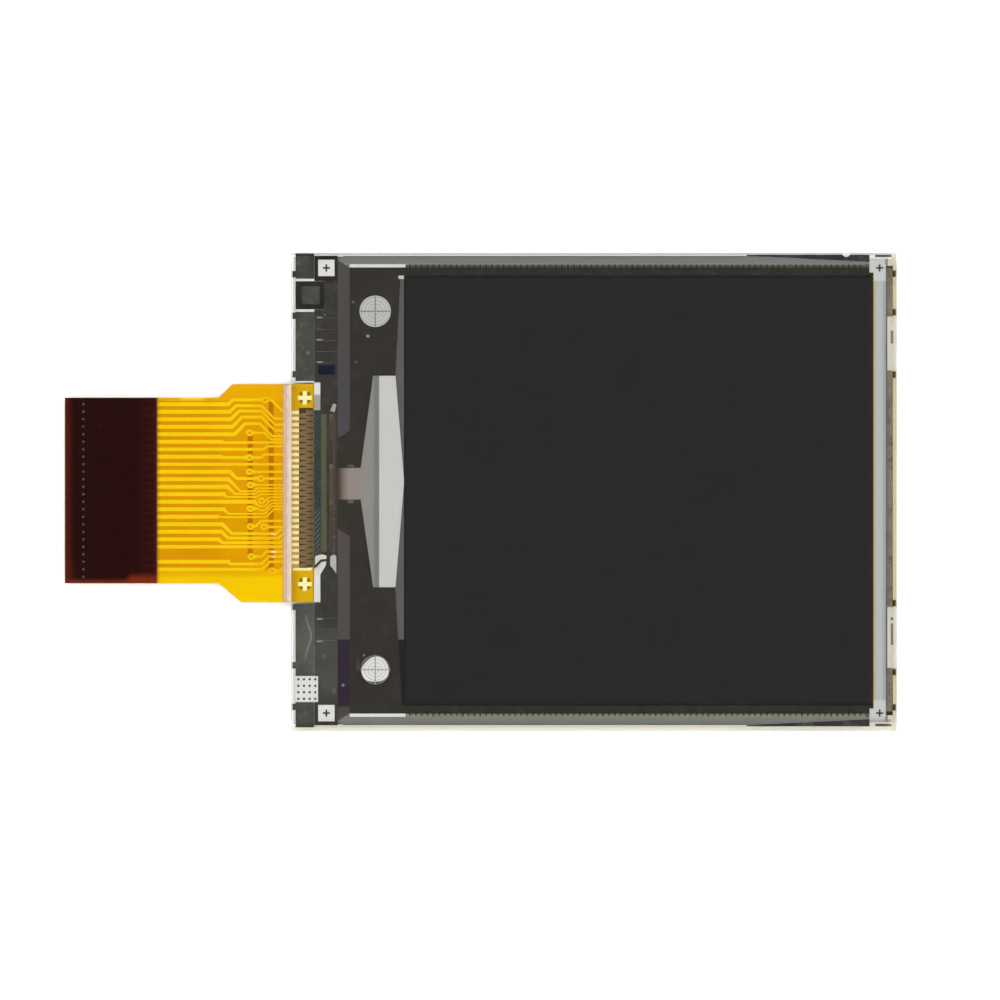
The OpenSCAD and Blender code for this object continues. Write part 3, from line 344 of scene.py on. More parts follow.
panel_finishes = {
    # thousands of crossing lines: one even charcoal, darker along the rim, brown where its far rim thins
    "pixel_array": sputtered_metal(
        "sputtered_pixel_metal", "1a1a18",
        [("232323", field_low.x + 0.1, field_high.x - 0.1, field_low.y + 0.14, field_high.y - 0.14, 0.06),
         ("3b2d10", field_high.x - 0.12, FAR, -FAR, FAR, 0.07)],
        cloud=0.015, lines=("X", 0.155, 0.02)),
    # solid metal: olive black, with bath stains, dust and upright rub marks
    "common_electrode": sputtered_metal(
        "sputtered_common_metal", "2e2c27",
        [("282a24", field_low.x, FAR, -FAR, FAR, 0.4),
         ("625f4e", field_low.x, FAR, -FAR, -14.94, 0.05),
         ("424239", field_low.x, FAR, 14.95, FAR, 0.06),
         around("a0a29b", -15.06, 10.3, 0.08, 0.07), around("5d5b57", -16.05, 12.57, 0.07, 0.07),
         around("4e4d48", -15.85, 8.57, 0.07, 0.08), around("75746d", -15.32, -10.98, 0.06, 0.06),
         ("41413c", -15.76, -15.66, -12.0, -11.3, 0.1), ("535452", -16.4, -16.0, 1.54, 1.72, 0.07),
         ("535456", -16.4, -16.0, -0.84, -0.64, 0.07)],
        cloud=0.12, stain="342f2b", specks=0.2, lines=("X", 0.37, 0.02)),
    # close parallel lines: even mid grey, browner along the outer rim and at the comb
    "row_lines": sputtered_metal(
        "sputtered_row_metal", "696b69",
        [("625f58", -FAR, FAR, rows_high.y - 0.08, FAR, 0.05),
         ("625e56", -FAR, FAR, -FAR, rows_low.y + 0.08, 0.05),
         ("70726a", field_low.x, FAR, 0, rows_high.y - 0.5, 0.05),
         ("757362", field_low.x, FAR, rows_low.y + 0.5, 0, 0.05),
         ("424239", field_low.x, FAR, -14.9, rows_high.y - 0.62, 0.06)],
        cloud=0.025, lines=("Y", 0.11, 0.025)),
    # the same lines where they run upright: mauve grey, nearly black below the last joint
    "row_risers": sputtered_metal(
        "sputtered_riser_metal", "45413f",
        [("424042", -FAR, FAR, -2, 9.2, 1.5), ("474142", -FAR, FAR, low_riser_end - 0.02, 0, 0.05),
         ("2d242c", -FAR, FAR, -FAR, low_riser_end, 0.05), ("443d3b", -FAR, FAR, -FAR, -14.4, 0.1),
         ("7f8293", riser_low.x + 0.3, riser_low.x + 0.42, -13.05, -12.91, 0.07)],
        cloud=0.05, lines=("X", 0.13, 0.03)),
    # lines that spread from the die: light grey bow, mauve stem, dark triangles beside the field
    "column_fanout": sputtered_metal(
        "sputtered_fan_metal", "787974",
        [("6d6e6a", bow_x0, bow_x1, -FAR, FAR, 0.08), ("7f7670", -FAR, stem_x1 + 0.25, -FAR, FAR, 0.35),
         ("62564f", -FAR, riser_low.x + 0.5, -FAR, FAR, 0.3),
         ("42382d", -FAR, riser_low.x + 0.2, -FAR, FAR, 0.12),
         ("504d4b", triangle_x, FAR, -FAR, FAR, 0.05), ("534e4d", triangle_x, FAR, low_riser_end, 8.5, 1.2),
         ("221d20", triangle_x, FAR, -FAR, low_riser_end, 0.04)],
        cloud=0.03, lines=("Y", 0.12, 0.015)),
    # broad strips: worn dark grey, blotched, wiped and dusty; brown along the far rim, dark at its ends
    "ground_ring": sputtered_metal(
        "sputtered_ring_metal", "3f403a",
        [("373834", -FAR, 0, 13.6, FAR, 0.1), ("494a45", -FAR, 0, -12.3, -7.6, 1.2),
         ("41423d", -FAR, 0, -FAR, -14.1, 0.2), around("686962", -19.06, 9.18, 0.08, 0.1),
         ("352f33", 0, 18.5, -FAR, FAR, 0.05), ("61595a", 18.5, 19.4, -FAR, FAR, 0.05),
         ("5f595b", 19.4, FAR, -FAR, FAR, 0.02), ("756c5a", 19.6, FAR, -FAR, FAR, 0.12),
         ("897d5b", 19.82, FAR, -FAR, FAR, 0.08), ("594f47", tab_x, FAR, -FAR, FAR, 0.02),
         ("332a28", 19.5, 19.9, 14.8, 15.2, 0.05), ("332a28", 19.5, 19.9, -15.2, -14.72, 0.05)],
        cloud=0.24, stain="4f4f4a", specks=0.2, trail=("6e6f6b", -19.02, 0.17, -11.1, -8.3)),
    # solid metal beside the die: near black, greyer and dustier at its foot, with fine leads under the pads
    "ledge_pads": sputtered_metal(
        "sputtered_ledge_metal", "33312d",
        [("42423e", -FAR, FAR, -13.8, -9.4, 0.9), ("2a2327", -FAR, FAR, 13.9, FAR, 0.2),
         ("595956", -17.36, -17.24, -13.5, -13.2, 0.1), ("5b5b5d", -18.0, -17.9, -11.2, -10.9, 0.07),
         ("313532", -FAR, ledge_low.x + 0.5, bond_y0, bond_y1, 0.1),
         ("3c312a", brown_x, FAR, die_low.y, die_high.y, 0.08)],
        cloud=0.16, stain="3c3b36", specks=0.3,
        leads=[("4d524f", 1.3, ledge_low.x, ledge_low.x + 0.36, 2.6, bond_y1, 0.25),
               ("7d827f", -1.3, ledge_low.x, ledge_low.x + 0.36, bond_y0, -1.2, 0.25)]),
    # test pads: blue black, and a framed square with a scuffed middle
    "process_pads": sputtered_metal(
        "sputtered_test_pad_metal", "262523",
        [("41423d", -19.45, -18.3, 12.45, 13.6, 0.06), ("151a27", -FAR, FAR, -FAR, 9, 0.05)],
        cloud=0.26, stain="333330"),
    # pads under the bonding film: bronze, duller towards the die
    "bond_pads": sputtered_metal(
        "sputtered_bond_metal", "715c3e", [("5d4e38", bonds_high.x - 0.4, FAR, -FAR, FAR, 0.3)],
        cloud=0.14),
    # marks and dots: dark grey, crisp
    "register_marks": sputtered_metal(
        "sputtered_mark_metal", "353536", [("988f84", 19.45, FAR, -12, 12, 0.02)], cloud=0.05),
    # thin rings over the paste: grey, hardly darker than the paste, with a darker cross; painted shade
    # darkens the lower ring away from its paste dab
    "contact_rings": sputtered_metal(
        "sputtered_target_metal", "8a8b86",
        # the first two zones: painted shade on the lower ring, kept lighter over the paste dab
        [("4e4e4a", -FAR, FAR, -FAR, 0, 0.1), around("9c9b96", dot_x, -dot_y, ring_half, 0.3),
         ("73746e", -FAR, FAR, dot_y - cross_half, dot_y + cross_half, 0.01),
         ("73746e", dot_x - cross_half, dot_x + cross_half, 0, FAR, 0.01),
         ("8b8a85", -FAR, FAR, -dot_y - cross_half, -dot_y + cross_half, 0.01),
         ("8b8a85", dot_x - cross_half, dot_x + cross_half, -dot_y - ring_half, -dot_y + ring_half, 0.01)],
        cloud=0.04),
    # silver-filled epoxy: pale and matt with silver flakes, whiter in the lower dab
    "silver_dots": fine_grain(
        "silver_epoxy_paste", "a0a19b", [("c0c0bd", -FAR, FAR, -FAR, 0, 0.1)], grain=0.25, Metallic=0.3),
    # ink layer: pale warm grey in the windows, cooler in the far strip, shaded round the lower paste dab
    "ink_film": capsule_coat(
        "capsule_ink_coat", "a4a49f",
        [("939691", 0, FAR, -FAR, FAR, 0.1),
         ("929071", field_high.x - 0.5, field_high.x + 0.16, -FAR, FAR, 0.12),
         ("81878e", ink_high.x - 0.2, FAR, -FAR, FAR, 0.12),
         *mirrored("a2a5a1", 0, FAR, 13.97, FAR, 0.04),
         *mirrored("353530", 18.05, rows_high.x, 14.82, FAR, 0.02),
         ("b4b8b0", -FAR, 0, ink_half, FAR, 0.03), ("bbbbb5", -FAR, 0, -FAR, -ink_half, 0.03),
         ("2d2c29", -FAR, lip_x, -ink_half, ink_half, 0.02),
         ("2a2928", field_low.x - 0.75, field_low.x + 0.05, -14.4, low_riser_end, 0.02),
         around("252421", dot_x, -dot_y, 1.2, 0.05)]),
    # cured acrylic seal: white, faintly cloudy, creamier along the far rim
    "edge_seal": fine_grain(
        "cured_acrylic_seal", "b1b4ad",
        [("b7b5aa", 0, FAR, -FAR, FAR, 0.5), ("a2a5a3", 17, ink_high.x, 14.5, FAR, 0.1),
         ("a09d94", 17, ink_high.x, -FAR, -14.5, 0.1), ("938a7b", 17, FAR, -FAR, -15.25, 0.08),
         *mirrored("6f6e6c", ink_high.x - 0.05, ink_high.x + 0.15, 14.9, FAR, 0.04),
         ("353330", -FAR, lip_x, -ink_half, ink_half, 0.02)],
        grain=0.6, depth=0.03),
    # silicone coat of the ledge: white and rubbery, tinted by the glue near the tail
    "ledge_sealant": fine_grain(
        "silicone_ledge_coat", "b7b7b2",
        [("a9a496", -FAR, ledge_low.x + 0.6, bond_y0 - 0.2, bond_y1 + 0.7, 0.5),
         ("91928e", die_low.x + 0.6, FAR, -7.4, 6.0, 0.08),
         ("2e2c23", ledge_low.x - 0.09, ledge_low.x + 0.05, bond_y0, bond_y1, 0.02),
         ("837f73", -FAR, die_low.x + 0.4, bond_y1 - 0.1, bond_y1 + 1.0, 0.08),
         ("7f7f7b", die_low.x + 0.4, FAR, 5.0, 6.4, 0.1),
         ("848584", die_low.x + 0.4, FAR, -6.5, -5.5, 0.2),
         *[("51524e", ledge_low.x, FAR, y0, y1, 0.05) for y0, y1 in dim_windows],
         *[("767873", ledge_low.x, ledge_low.x + 0.5, y0, y1, 0.15) for y0, y1 in dim_windows],
         ("494a46", ledge_low.x + 0.6, FAR, 11.95, 14.0, 0.05),
         ("3e3c3a", ledge_high.x - 0.1, FAR, -FAR, FAR, 0.03)],
        grain=0.6, depth=0.04),
    # hard-coated polyester over white ink: pale grey, paler inside the picture area
    "protective_sheet": capsule_coat(
        "hard_coated_polyester", "b4b5b0",
        [("c4c5bf", field_low.x, field_high.x, field_low.y, field_high.y, 0.05)], rough=0.3),
    # ground and etched back of the silicon die: dark blue grey with a soft mirror
    "driver_chip": fine_grain(
        "ground_silicon", "4a4b50", grain=0.4, depth=0.03, relief=0.0005, rough=0.25, Metallic=0.4),
    # plated gold bumps, dulled to brown by the bonding film over them
    "chip_bumps": rolled_metal("plated_gold_bumps", "453b31", metallic=0.7, rough=0.45),
    # filled bonding film under the die: olive on one side, brown on the other
    "chip_bond_film": fine_grain(
        "filled_bonding_film", "41442f",
        [("392f25", brown_x, FAR, -FAR, FAR, 0.04), ("4a412d", -FAR, FAR, 4.7, FAR, 0.3),
         ("2d291c", brown_x, FAR, 1.75, 3.3, 0.06), ("564830", brown_x, FAR, 1.45, 1.75, 0.06),
         ("45382c", brown_x, FAR, -0.75, 1.45, 0.06), ("51462a", brown_x - 0.2, FAR, -0.95, -0.75, 0.05)],
        grain=0.5, depth=0.08, Specular_IOR_Level=0.15),
    # filled bonding film under the tail: dark bronze
    "flex_bond_film": fine_grain(
        "filled_tail_bonding_film", "342814", depth=0.1, Specular_IOR_Level=0.2),
}

tail_finishes = {
    # orange where it is bare between the lines, yellower in the head, brightest along the lower edge,
    # with a painted glint along the upper edge and painted shade in the corners round the crosses
    "flex_base": polyimide_film(
        "polyimide_base", "bb7f00",
        [("c18900", head_x, FAR, -FAR, FAR, 0.8), ("c89804", -FAR, FAR, 5.95, FAR, 0.1),
         ("cd9e00", head_x, FAR, 6.3, FAR, 0.6), ("cba700", -FAR, FAR, -FAR, -5.35, 0.05),
         # the second zone on the next line is a painted glint along the upper edge
         ("dac100", -FAR, FAR, -FAR, -5.72, 0.2), ("e2c343", -27.6, -26.0, 6.04, FAR, 0.12),
         ("b88e05", glass_low.x, FAR, -FAR, FAR, 0.04),
         ("aa894b", glass_low.x, fingers_high.x, bond_y0, bond_y1, 0.06),
         # painted shade in the corners round the two crosses
         around("715608", mark_x, mark_y, cross_shade_half, 0.07),
         around("715608", mark_x, -mark_y, cross_shade_half, 0.07),
         ("903c00", near_bus_x - bus_half, near_bus_x + bus_half, -5.35, 6.05, 0.05),
         ("903c00", far_bus_x - bus_half, far_bus_x + bus_half, -4.4, 3.85, 0.05)]),
    # underside film: the same amber without the lines
    "flex_bottom_cover": polyimide_film("polyimide_under_cover", "c58a08", rough=0.2),
    # copper under amber film: bright golden yellow, with a few painted glints near the glass
    "flex_traces": rolled_metal(
        "rolled_copper", "dfc807",
        [("d8b804", -22.6, FAR, -FAR, FAR, 0.8),
         *[("e2ddbd", -21.5, -21.18, y0, y1, 0.05) for y0, y1 in painted_glint_spans]],
        metallic=0.6, rough=0.5),
    # gold flash on copper: pale straw yellow
    "flex_bond_fingers": rolled_metal("gold_flashed_fingers", "dace8f", metallic=0.3, rough=0.5),
    # lower copper: dull orange brown
    "flex_crossovers": rolled_metal("bare_copper", "b06a20", metallic=0.8, rough=0.4),
    # gold flash on copper: bright yellow contacts
    "flex_contacts": rolled_metal("gold_flashed_contacts", "e4c168"),
    # plated hole walls seen from above: dark olive gold
    "flex_vias": rolled_metal("plated_copper_vias", "b8862a", metallic=0.8),
}

for node, material in {**panel_finishes, **tail_finishes}.items():
    cad[node].data.materials.clear()
    cad[node].data.materials.append(material)


# Pieces modelled here
def begin():
    """Nothing selected and object mode, before a new piece is started."""
    if bpy.context.object and bpy.context.object.mode != "OBJECT":
        bpy.ops.object.mode_set(mode="OBJECT")
    bpy.ops.object.select_all(action="DESELECT")


def settle():
    """Puts the started piece's place into its mesh."""
    bpy.ops.object.mode_set(mode="OBJECT")
    bpy.ops.object.transform_apply(location=True, rotation=True, scale=True)


def select(kind, wanted):
    """Selects the points, edges or faces of the piece whose points all pass the test, in edit mode."""
    bpy.ops.object.mode_set(mode="EDIT")
    bpy.ops.mesh.select_mode(type=kind)
    bpy.ops.mesh.select_all(action="DESELECT")
    mesh = bmesh.from_edit_mesh(bpy.context.object.data)
    items = {"VERT": mesh.verts, "EDGE": mesh.edges, "FACE": mesh.faces}[kind]
    for item in items:
        points = [item] if kind == "VERT" else item.verts
        item.select_set(all(wanted(point.co / MM) for point in points))
    mesh.select_flush_mode()
    bmesh.update_edit_mesh(bpy.context.object.data)


def finish_modifier(kind, **settings):
    """Adds a modifier to the piece and applies it."""
    bpy.ops.object.mode_set(mode="OBJECT")
    piece = bpy.context.object
    modifier = piece.modifiers.new(kind.lower(), kind)
    for name, value in settings.items():
        setattr(modifier, name, value)
    bpy.ops.object.modifier_apply(modifier=modifier.name)


def dress(name, material, slot, *replaced):
    """Names the finished piece, gives it its finish and sets it on the part."""
    bpy.ops.object.mode_set(mode="OBJECT")
    piece = bpy.context.object
    piece.name = name
    piece.data.name = name
    piece.data.materials.clear()
    piece.data.materials.append(material)
    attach(piece, "root")
    if replaced:
        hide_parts(*replaced)


# The pieces stand this far off the faces they lie on, so that clear pieces show what is under them
AIR = 0.005

# A point that is this near to a face, or in metres to a cutting plane, counts as on it
NEAR = 0.01
CUT = 1e-7

# Chipped spot in the upper edge of the glass: the middle of the round bite and its radius
bite_radius = 0.3
bite_middle = Vector((16.8, glass_high.y + 0.05, glass_high.z))


def bite_ball(radius):
    """The ball that the bite is cut with, and that its broken face is part of."""
    begin()
    bpy.ops.mesh.primitive_uv_sphere_add(segments=48, ring_count=24, radius=radius * MM,
                                         location=bite_middle * MM)


def float_glass():
    """Float glass, cut and ground: clear with sharp reflections, and a warm pale rim where the ground edge
    scatters light."""
    rim, upper_rim, far_rim, ground_edge = 0.35, 0.15, 0.25, 0.05
    far_windows = ((8.0, 11.6), (-11.82, -7.78))
    material, tree, shader, place = new_finish("float_glass", Transmission_Weight=1.0, IOR=1.52)
    shown = zoned(tree, place, "ffffff", [
        ("e1ddca", -FAR, FAR, -FAR, glass_low.y + rim, 0.05),
        ("c6c5bc", -FAR, FAR, glass_high.y - upper_rim, FAR, 0.05),
        ("c9be90", glass_high.x - far_rim, FAR, -FAR, FAR, 0.05),
        *[("d2ccb6", glass_high.x - rim, FAR, y0, y1, 0.05) for y0, y1 in far_windows],
        *mirrored("cdc4a8", glass_high.x - rim, FAR, 14.4, FAR, 0.05)])
    tree.links.new(shown, shader.inputs["Base Color"])
    # most of the light goes straight on through the thin pane, less along the rim, which scatters it
    open_pane = inside(tree, place, glass_low.x + ground_edge, glass_high.x - rim, glass_low.y + rim,
                       glass_high.y - upper_rim, 0.05)
    veil = add(tree, "ShaderNodeMapRange", {"Value": open_pane, "To Min": 0.75, "To Max": 0.12})
    tree.links.new(veil.outputs[0], shader.inputs["Alpha"])
    polished = inside(tree, place, glass_low.x + ground_edge, glass_high.x - ground_edge,
                      glass_low.y + ground_edge, glass_high.y - ground_edge, 0.02)
    rough = add(tree, "ShaderNodeMapRange", {"Value": polished, "To Min": 0.3, "To Max": 0.0})
    tree.links.new(rough.outputs[0], shader.inputs["Roughness"])
    return material


def glass_pane():
    """Cut glass sheet with ground edges and the round bite in its upper edge."""
    bevel = 0.035
    size = glass_high - glass_low
    bite_ball(bite_radius + AIR)
    bite = bpy.context.object
    begin()
    bpy.ops.mesh.primitive_cube_add(
        size=1, location=((glass_low + glass_high) / 2 + Vector((0, 0, AIR / 2))) * MM,
        scale=Vector((size.x, size.y, size.z - AIR)) * MM)
    settle()
    bpy.ops.object.mode_set(mode="EDIT")
    bpy.ops.mesh.select_all(action="SELECT")
    bpy.ops.mesh.bevel(offset=bevel * MM, segments=2, affect="EDGES")
    finish_modifier("BOOLEAN", object=bite, operation="DIFFERENCE", solver="EXACT")
    bpy.data.objects.remove(bite)
    dress("glass_pane", float_glass(), "clear_glass", "backplane_glass")


glass_pane()


def broken_glass():
    """Freshly broken glass: white and frosted, with fine shell-shaped steps."""
    step = 0.12
    material, tree, shader, place = new_finish("broken_glass_face", IOR=1.52)
    steps = add(tree, "ShaderNodeTexNoise", {"Vector": place, "Scale": 1 / step, "Detail": 4.0})
    tones = add(tree, "ShaderNodeMix", {0: steps.outputs[0], 6: colour("c0b8a9"), 7: colour("d5d5d5")},
                data_type="RGBA")
    surface(tree, shader, tones.outputs[2], steps.outputs[0], rough=0.45, spread=0.15, relief=0.02)
    return material


def broken_face():
    """Frosted face of the bite: the part of a ball's skin that lies in the glass."""
    skin = 0.01
    bite_ball(bite_radius)
    settle()
    bpy.ops.object.mode_set(mode="EDIT")
    for spot, direction in (((0, glass_high.y - AIR, 0), (0, -1, 0)),
                            ((0, 0, glass_high.z - AIR), (0, 0, -1))):
        bpy.ops.mesh.select_all(action="SELECT")
        bpy.ops.mesh.bisect(plane_co=Vector(spot) * MM, plane_no=direction, clear_inner=True, threshold=CUT)
    finish_modifier("SOLIDIFY", thickness=skin * MM, offset=-1.0)
    bpy.ops.object.shade_smooth_by_angle(angle=math.radians(40))
    dress("broken_face", broken_glass(), "clear_glass")


broken_face()


def cover_film():
    """Amber cover film of the tail with its two slanted shoulders."""
    upper_run, lower_run = 0.9, 1.5
    part_run = 0.5
    tail_half = board_high.y
    begin()
    bpy.ops.mesh.primitive_plane_add(
        size=1, location=Vector(((cover_low.x + head_x) / 2, 0, cover_low.z + AIR)) * MM)
    bpy.ops.transform.resize(value=((head_x - cover_low.x) * MM, 2 * tail_half * MM, 1))
    settle()
    # the two shoulders
    select("EDGE", lambda p: p.x > head_x - NEAR)
    bpy.ops.mesh.extrude_region_move(TRANSFORM_OT_translate={"value": (upper_run * MM, 0, 0)})
    select("VERT", lambda p: p.x > head_x + part_run and p.y > 0)
    bpy.ops.transform.translate(value=(0, (cover_high.y - tail_half) * MM, 0))
    select("VERT", lambda p: p.x > head_x + part_run and p.y < 0)
    bpy.ops.transform.translate(value=((lower_run - upper_run) * MM, (cover_low.y + tail_half) * MM, 0))
    # the head, as far as the glass
    select("EDGE", lambda p: p.x > head_x + part_run)
    bpy.ops.mesh.extrude_region_move(
        TRANSFORM_OT_translate={"value": ((cover_high.x - head_x - lower_run) * MM, 0, 0)})
    select("VERT", lambda p: p.x > head_x + lower_run + part_run and p.y > 0)
    bpy.ops.transform.translate(value=((lower_run - upper_run) * MM, 0, 0))
    # the thickness
    bpy.ops.mesh.select_all(action="SELECT")
    bpy.ops.mesh.extrude_region_move(
        TRANSFORM_OT_translate={"value": (0, 0, (cover_high.z - cover_low.z - AIR) * MM)})
    bpy.ops.mesh.select_all(action="SELECT")
    bpy.ops.mesh.normals_make_consistent(inside=False)
    fog = (bead_low.x - 0.03, FAR, bead_low.y, bead_high.y, 0.16)
    material = polyimide_film("polyimide_cover", "d89a00", [("e2c6ac", *fog)], rough=0.12,
                              veil=(0.15, 0.85, *fog))
    dress("cover_film", material, "amber_cover", "flex_top_cover")


cover_film()


def cured_glue():
    """Cured acrylic glue: milky with a lilac tint, fading out where the bead thins towards the tail."""
    lump = 0.5
    material, tree, shader, place = new_finish("cured_acrylic_glue", Roughness=0.14)
    lumps = add(tree, "ShaderNodeTexNoise", {"Vector": place, "Scale": 1 / lump, "Detail": 3.0})
    tones = add(tree, "ShaderNodeMix", {0: lumps.outputs[0], 6: colour("c5b29c"), 7: colour("d5c9bd")},
                data_type="RGBA")
    tree.links.new(tones.outputs[2], shader.inputs["Base Color"])
    across = add(tree, "ShaderNodeSeparateXYZ", {0: place})
    wander = add(tree, "ShaderNodeMapRange", {"Value": lumps.outputs[0], "To Min": -0.06, "To Max": 0.06})
    swung = add(tree, "ShaderNodeMath", {0: across.outputs[0], 1: wander.outputs[0]}, operation="ADD")
    veil = add(tree, "ShaderNodeMapRange", {"Value": swung.outputs[0], "From Min": bead_low.x + 0.05,
                                            "From Max": bead_low.x + 0.3, "To Min": 0.05, "To Max": 0.85},
               interpolation_type="SMOOTHSTEP")
    tree.links.new(veil.outputs[0], shader.inputs["Alpha"])
    bump = add(tree, "ShaderNodeBump", {"Height": lumps.outputs[0], "Distance": 0.02 * MM})
    tree.links.new(bump.outputs[0], shader.inputs["Normal"])
    return material


def glue_bead():
    """Bead of glue in the corner between the glass edge and the tail: a quarter round, lumpy along it."""
    cuts = 48
    lump_size, lump_depth, flat_rim = 0.9, 0.1, 0.1
    round_share = 0.95
    radius = round_share * (bead_high.x - bead_low.x)
    size = bead_high - bead_low - Vector((AIR, 0, AIR))
    begin()
    bpy.ops.mesh.primitive_cube_add(
        size=1, location=((bead_low + bead_high) / 2 + Vector((-AIR / 2, 0, AIR / 2))) * MM,
        scale=size * MM)
    settle()
    select("EDGE", lambda p: p.x < bead_low.x + NEAR and p.z > bead_high.z - NEAR)
    bpy.ops.mesh.bevel(offset=radius * MM, segments=10, affect="EDGES")
    for cut in range(1, cuts):
        spot = (0, bead_low.y + (bead_high.y - bead_low.y) * cut / cuts, 0)
        bpy.ops.mesh.select_all(action="SELECT")
        bpy.ops.mesh.bisect(plane_co=Vector(spot) * MM, plane_no=(0, 1, 0), threshold=CUT)
    select("VERT", lambda p: p.z > bead_low.z + flat_rim and p.x < bead_high.x - flat_rim)
    round_side = bpy.context.object.vertex_groups.new(name="round_side")
    bpy.ops.object.vertex_group_assign()
    lumps = bpy.data.textures.new("glue_lumps", "CLOUDS")
    lumps.noise_scale = lump_size * MM
    finish_modifier("DISPLACE", texture=lumps, texture_coords="LOCAL", strength=lump_depth * MM,
                    mid_level=1.0, vertex_group=round_side.name)
    bpy.ops.object.shade_smooth_by_angle(angle=math.radians(40))
    dress("glue_bead", cured_glue(), "clear_bead", "edge_bead")


glue_bead()

# Contacts behind the stiffener: their pitch and number
pin_pitch = 0.5
pins = 24


def stiffener_board():
    """Thick polyimide stiffener: almost black brown, red where light comes through its edges and between
    the contacts behind it."""
    blotch = 0.8
    material, tree, shader, place = new_finish("polyimide_stiffener", IOR=1.7, Specular_IOR_Level=0.25)
    shown = zoned(tree, place, "1d0705", [
        ("4c190e", -FAR, board_low.x + 0.25, -FAR, FAR, 0.45),
        ("260a08", board_high.x - 0.9, FAR, -FAR, FAR, 0.7),
        ("3d1106", board_high.x - 0.12, FAR, -FAR, FAR, 0.15),
        ("4a170f", -FAR, board_low.x + 0.2, -FAR, -4.5, 0.8),
        ("5c2013", -FAR, FAR, -FAR, board_low.y + 0.2, 0.22),
        ("65210f", board_high.x - 1.9, FAR, -FAR, board_low.y + 0.5, 0.3)])
    # the gaps between the contacts show near the inner end
    wave = add(tree, "ShaderNodeTexWave", {"Vector": place, "Scale": WAVE_LENGTH / pin_pitch},
               bands_direction="Y")
    gap = add(tree, "ShaderNodeMapRange", {"Value": wave.outputs[1], "From Min": 0.35, "From Max": 0.05,
                                           "To Max": 0.35})
    end = inside(tree, place, board_high.x - 0.9, FAR, board_low.y + 0.4, board_high.y - 0.4, 0.6)
    stripe = add(tree, "ShaderNodeMath", {0: gap.outputs[0], 1: end}, operation="MULTIPLY")
    shown = add(tree, "ShaderNodeMix", {0: stripe.outputs[0], 6: shown, 7: colour("400d0a")},
                data_type="RGBA").outputs[2]
    cloud = add(tree, "ShaderNodeTexNoise", {"Vector": place, "Scale": 1 / blotch, "Detail": 5.0,
                                             "Roughness": 0.6})
    shown = varied(tree, shown, cloud.outputs[0], depth=0.1)
    shown = dusted(tree, place, shown, "574645", share=0.15, cell=1.5, grain=0.09, core=1 / 3, most=0.5)
    surface(tree, shader, shown, cloud.outputs[0], rough=0.09, spread=0.03, relief=0.001)
    return material


def stiffener_plate():
    """Stiffener with its edges just broken."""
    bevel = 0.03
    size = board_high - board_low
    begin()
    bpy.ops.mesh.primitive_cube_add(size=1, location=(board_low + board_high) / 2 * MM, scale=size * MM)
    settle()
    select("EDGE", lambda p: p.z > board_high.z - NEAR)
    bpy.ops.mesh.bevel(offset=bevel * MM, segments=3, affect="EDGES")
    dress("stiffener_plate", stiffener_board(), "brown_stiffener", "flex_stiffener")


stiffener_plate()


def pressed_polyimide():
    """Polyimide bruised by a tool: greyish and scuffed."""
    scuff_size = 0.9
    material, tree, shader, place = new_finish("bruised_polyimide", IOR=1.7, Roughness=0.35,
                                               Specular_IOR_Level=0.25)
    scuff = add(tree, "ShaderNodeTexNoise", {"Vector": place, "Scale": 1 / scuff_size, "Detail": 4.0})
    share = add(tree, "ShaderNodeMapRange", {"Value": scuff.outputs[0], "From Min": 0.35, "From Max": 0.65})
    tones = add(tree, "ShaderNodeMix", {0: share.outputs[0], 6: colour("1d100f"), 7: colour("382827")},
                data_type="RGBA")
    tree.links.new(tones.outputs[2], shader.inputs["Base Color"])
    bump = add(tree, "ShaderNodeBump", {"Height": scuff.outputs[0], "Distance": 0.004 * MM})
    tree.links.new(bump.outputs[0], shader.inputs["Normal"])
    return material


def pin_dimples():
    """Row of small domed bruises on the stiffener, one over each contact."""
    radius, rise = 0.085, 0.012
    steps = ((0.03, 0.006), (0.025, 0.003))
    dimple_x = board_low.x + 1.25
    begin()
    bpy.ops.mesh.primitive_cylinder_add(
        vertices=16, radius=radius * MM, depth=rise * MM,
        location=Vector((dimple_x, pin_pitch * (1 - pins) / 2, board_high.z + AIR / 2 + rise / 2)) * MM)
    settle()
    select("FACE", lambda p: p.z > board_high.z + rise / 2)
    for width, lift in steps:
        bpy.ops.mesh.inset(thickness=width * MM, depth=lift * MM)
    bpy.ops.object.mode_set(mode="OBJECT")
    row = [bpy.context.object]
    while len(row) < pins:
        bpy.ops.object.duplicate(linked=False)
        bpy.ops.transform.translate(value=(0, pin_pitch * MM, 0))
        row.append(bpy.context.object)
    begin()
    for dimple in row:
        dimple.select_set(True)
    bpy.context.view_layer.objects.active = row[0]
    bpy.ops.object.join()
    settle()
    bpy.ops.object.shade_smooth_by_angle(angle=math.radians(50))
    dress("pin_dimples", pressed_polyimide(), "brown_stiffener")


pin_dimples()


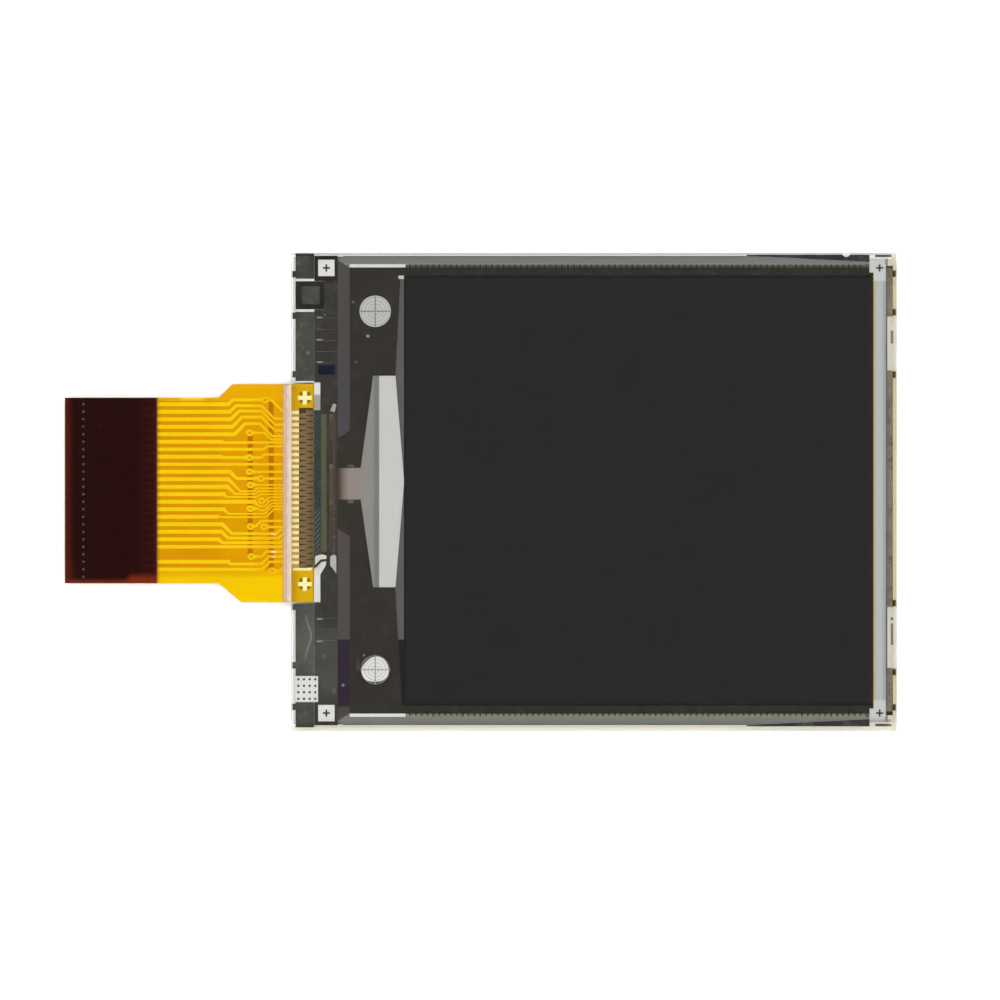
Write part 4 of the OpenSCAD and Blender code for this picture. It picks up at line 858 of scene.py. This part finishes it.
# Ground, light and camera
def pale_floor():
    """Matt white board under the part, 6 m wide."""
    cloud_size, board_size, drop = 40, 6000, 0.02
    material, tree, shader, place = new_finish("matt_white_board", Roughness=0.9, Specular_IOR_Level=0.1)
    cloud = add(tree, "ShaderNodeTexNoise", {"Vector": place, "Scale": 1 / cloud_size})
    tones = add(tree, "ShaderNodeMix", {0: cloud.outputs[0], 6: colour("f6f6f6"), 7: colour("fdfdfd")},
                data_type="RGBA")
    tree.links.new(tones.outputs[2], shader.inputs["Base Color"])
    begin()
    bpy.ops.mesh.primitive_plane_add(size=board_size * MM, location=(0, 0, -drop * MM))
    floor = bpy.context.object
    floor.name = "pale_floor"
    floor.data.materials.append(material)


pale_floor()


def soft_dome():
    """White studio dome: a broad bright ring high up, dim straight overhead and near the horizon so that
    the glass mirrors little of it."""
    world = bpy.data.worlds.new("soft_dome")
    bpy.context.scene.world = world
    world.use_nodes = True
    tree = world.node_tree
    tree.nodes.clear()
    # the height on the dome is 0 at the horizon and 1 overhead
    up = add(tree, "ShaderNodeTexCoord")
    height = add(tree, "ShaderNodeSeparateXYZ", {0: up.outputs["Generated"]}).outputs[2]
    rise = add(tree, "ShaderNodeMapRange", {"Value": height, "From Min": 0.55, "From Max": 0.7,
                                            "To Min": 0.06, "To Max": 1.0}, interpolation_type="SMOOTHSTEP")
    cap = add(tree, "ShaderNodeMapRange", {"Value": height, "From Min": 0.89, "From Max": 0.97,
                                           "To Min": 1.0, "To Max": 0.02}, interpolation_type="SMOOTHSTEP")
    ring = add(tree, "ShaderNodeMath", {0: rise.outputs[0], 1: cap.outputs[0]}, operation="MULTIPLY")
    light = add(tree, "ShaderNodeBackground", {"Color": ring.outputs[0], "Strength": 3.15})
    add(tree, "ShaderNodeOutputWorld", {"Surface": light.outputs[0]})


soft_dome()


def camera():
    """Looks straight down on the back of the panel, the tail to the left, from where the picture's 1000
    pixels are 15 to the millimetre."""
    picture_width = 1000 / 15.0
    lens, sensor = 150.0, 36.0
    middle_x, middle_y, middle_z = -6.25, -0.633, 0.55
    data = bpy.data.cameras.new("camera")
    data.lens = lens
    data.sensor_width = sensor
    data.clip_start = 0.01
    data.clip_end = 20.0
    camera_object = bpy.data.objects.new("camera", data)
    bpy.context.scene.collection.objects.link(camera_object)
    camera_object.location = Vector((middle_x, middle_y, middle_z + picture_width * lens / sensor)) * MM
    bpy.context.scene.camera = camera_object


camera()
bpy.context.scene.view_settings.view_transform = "Standard"
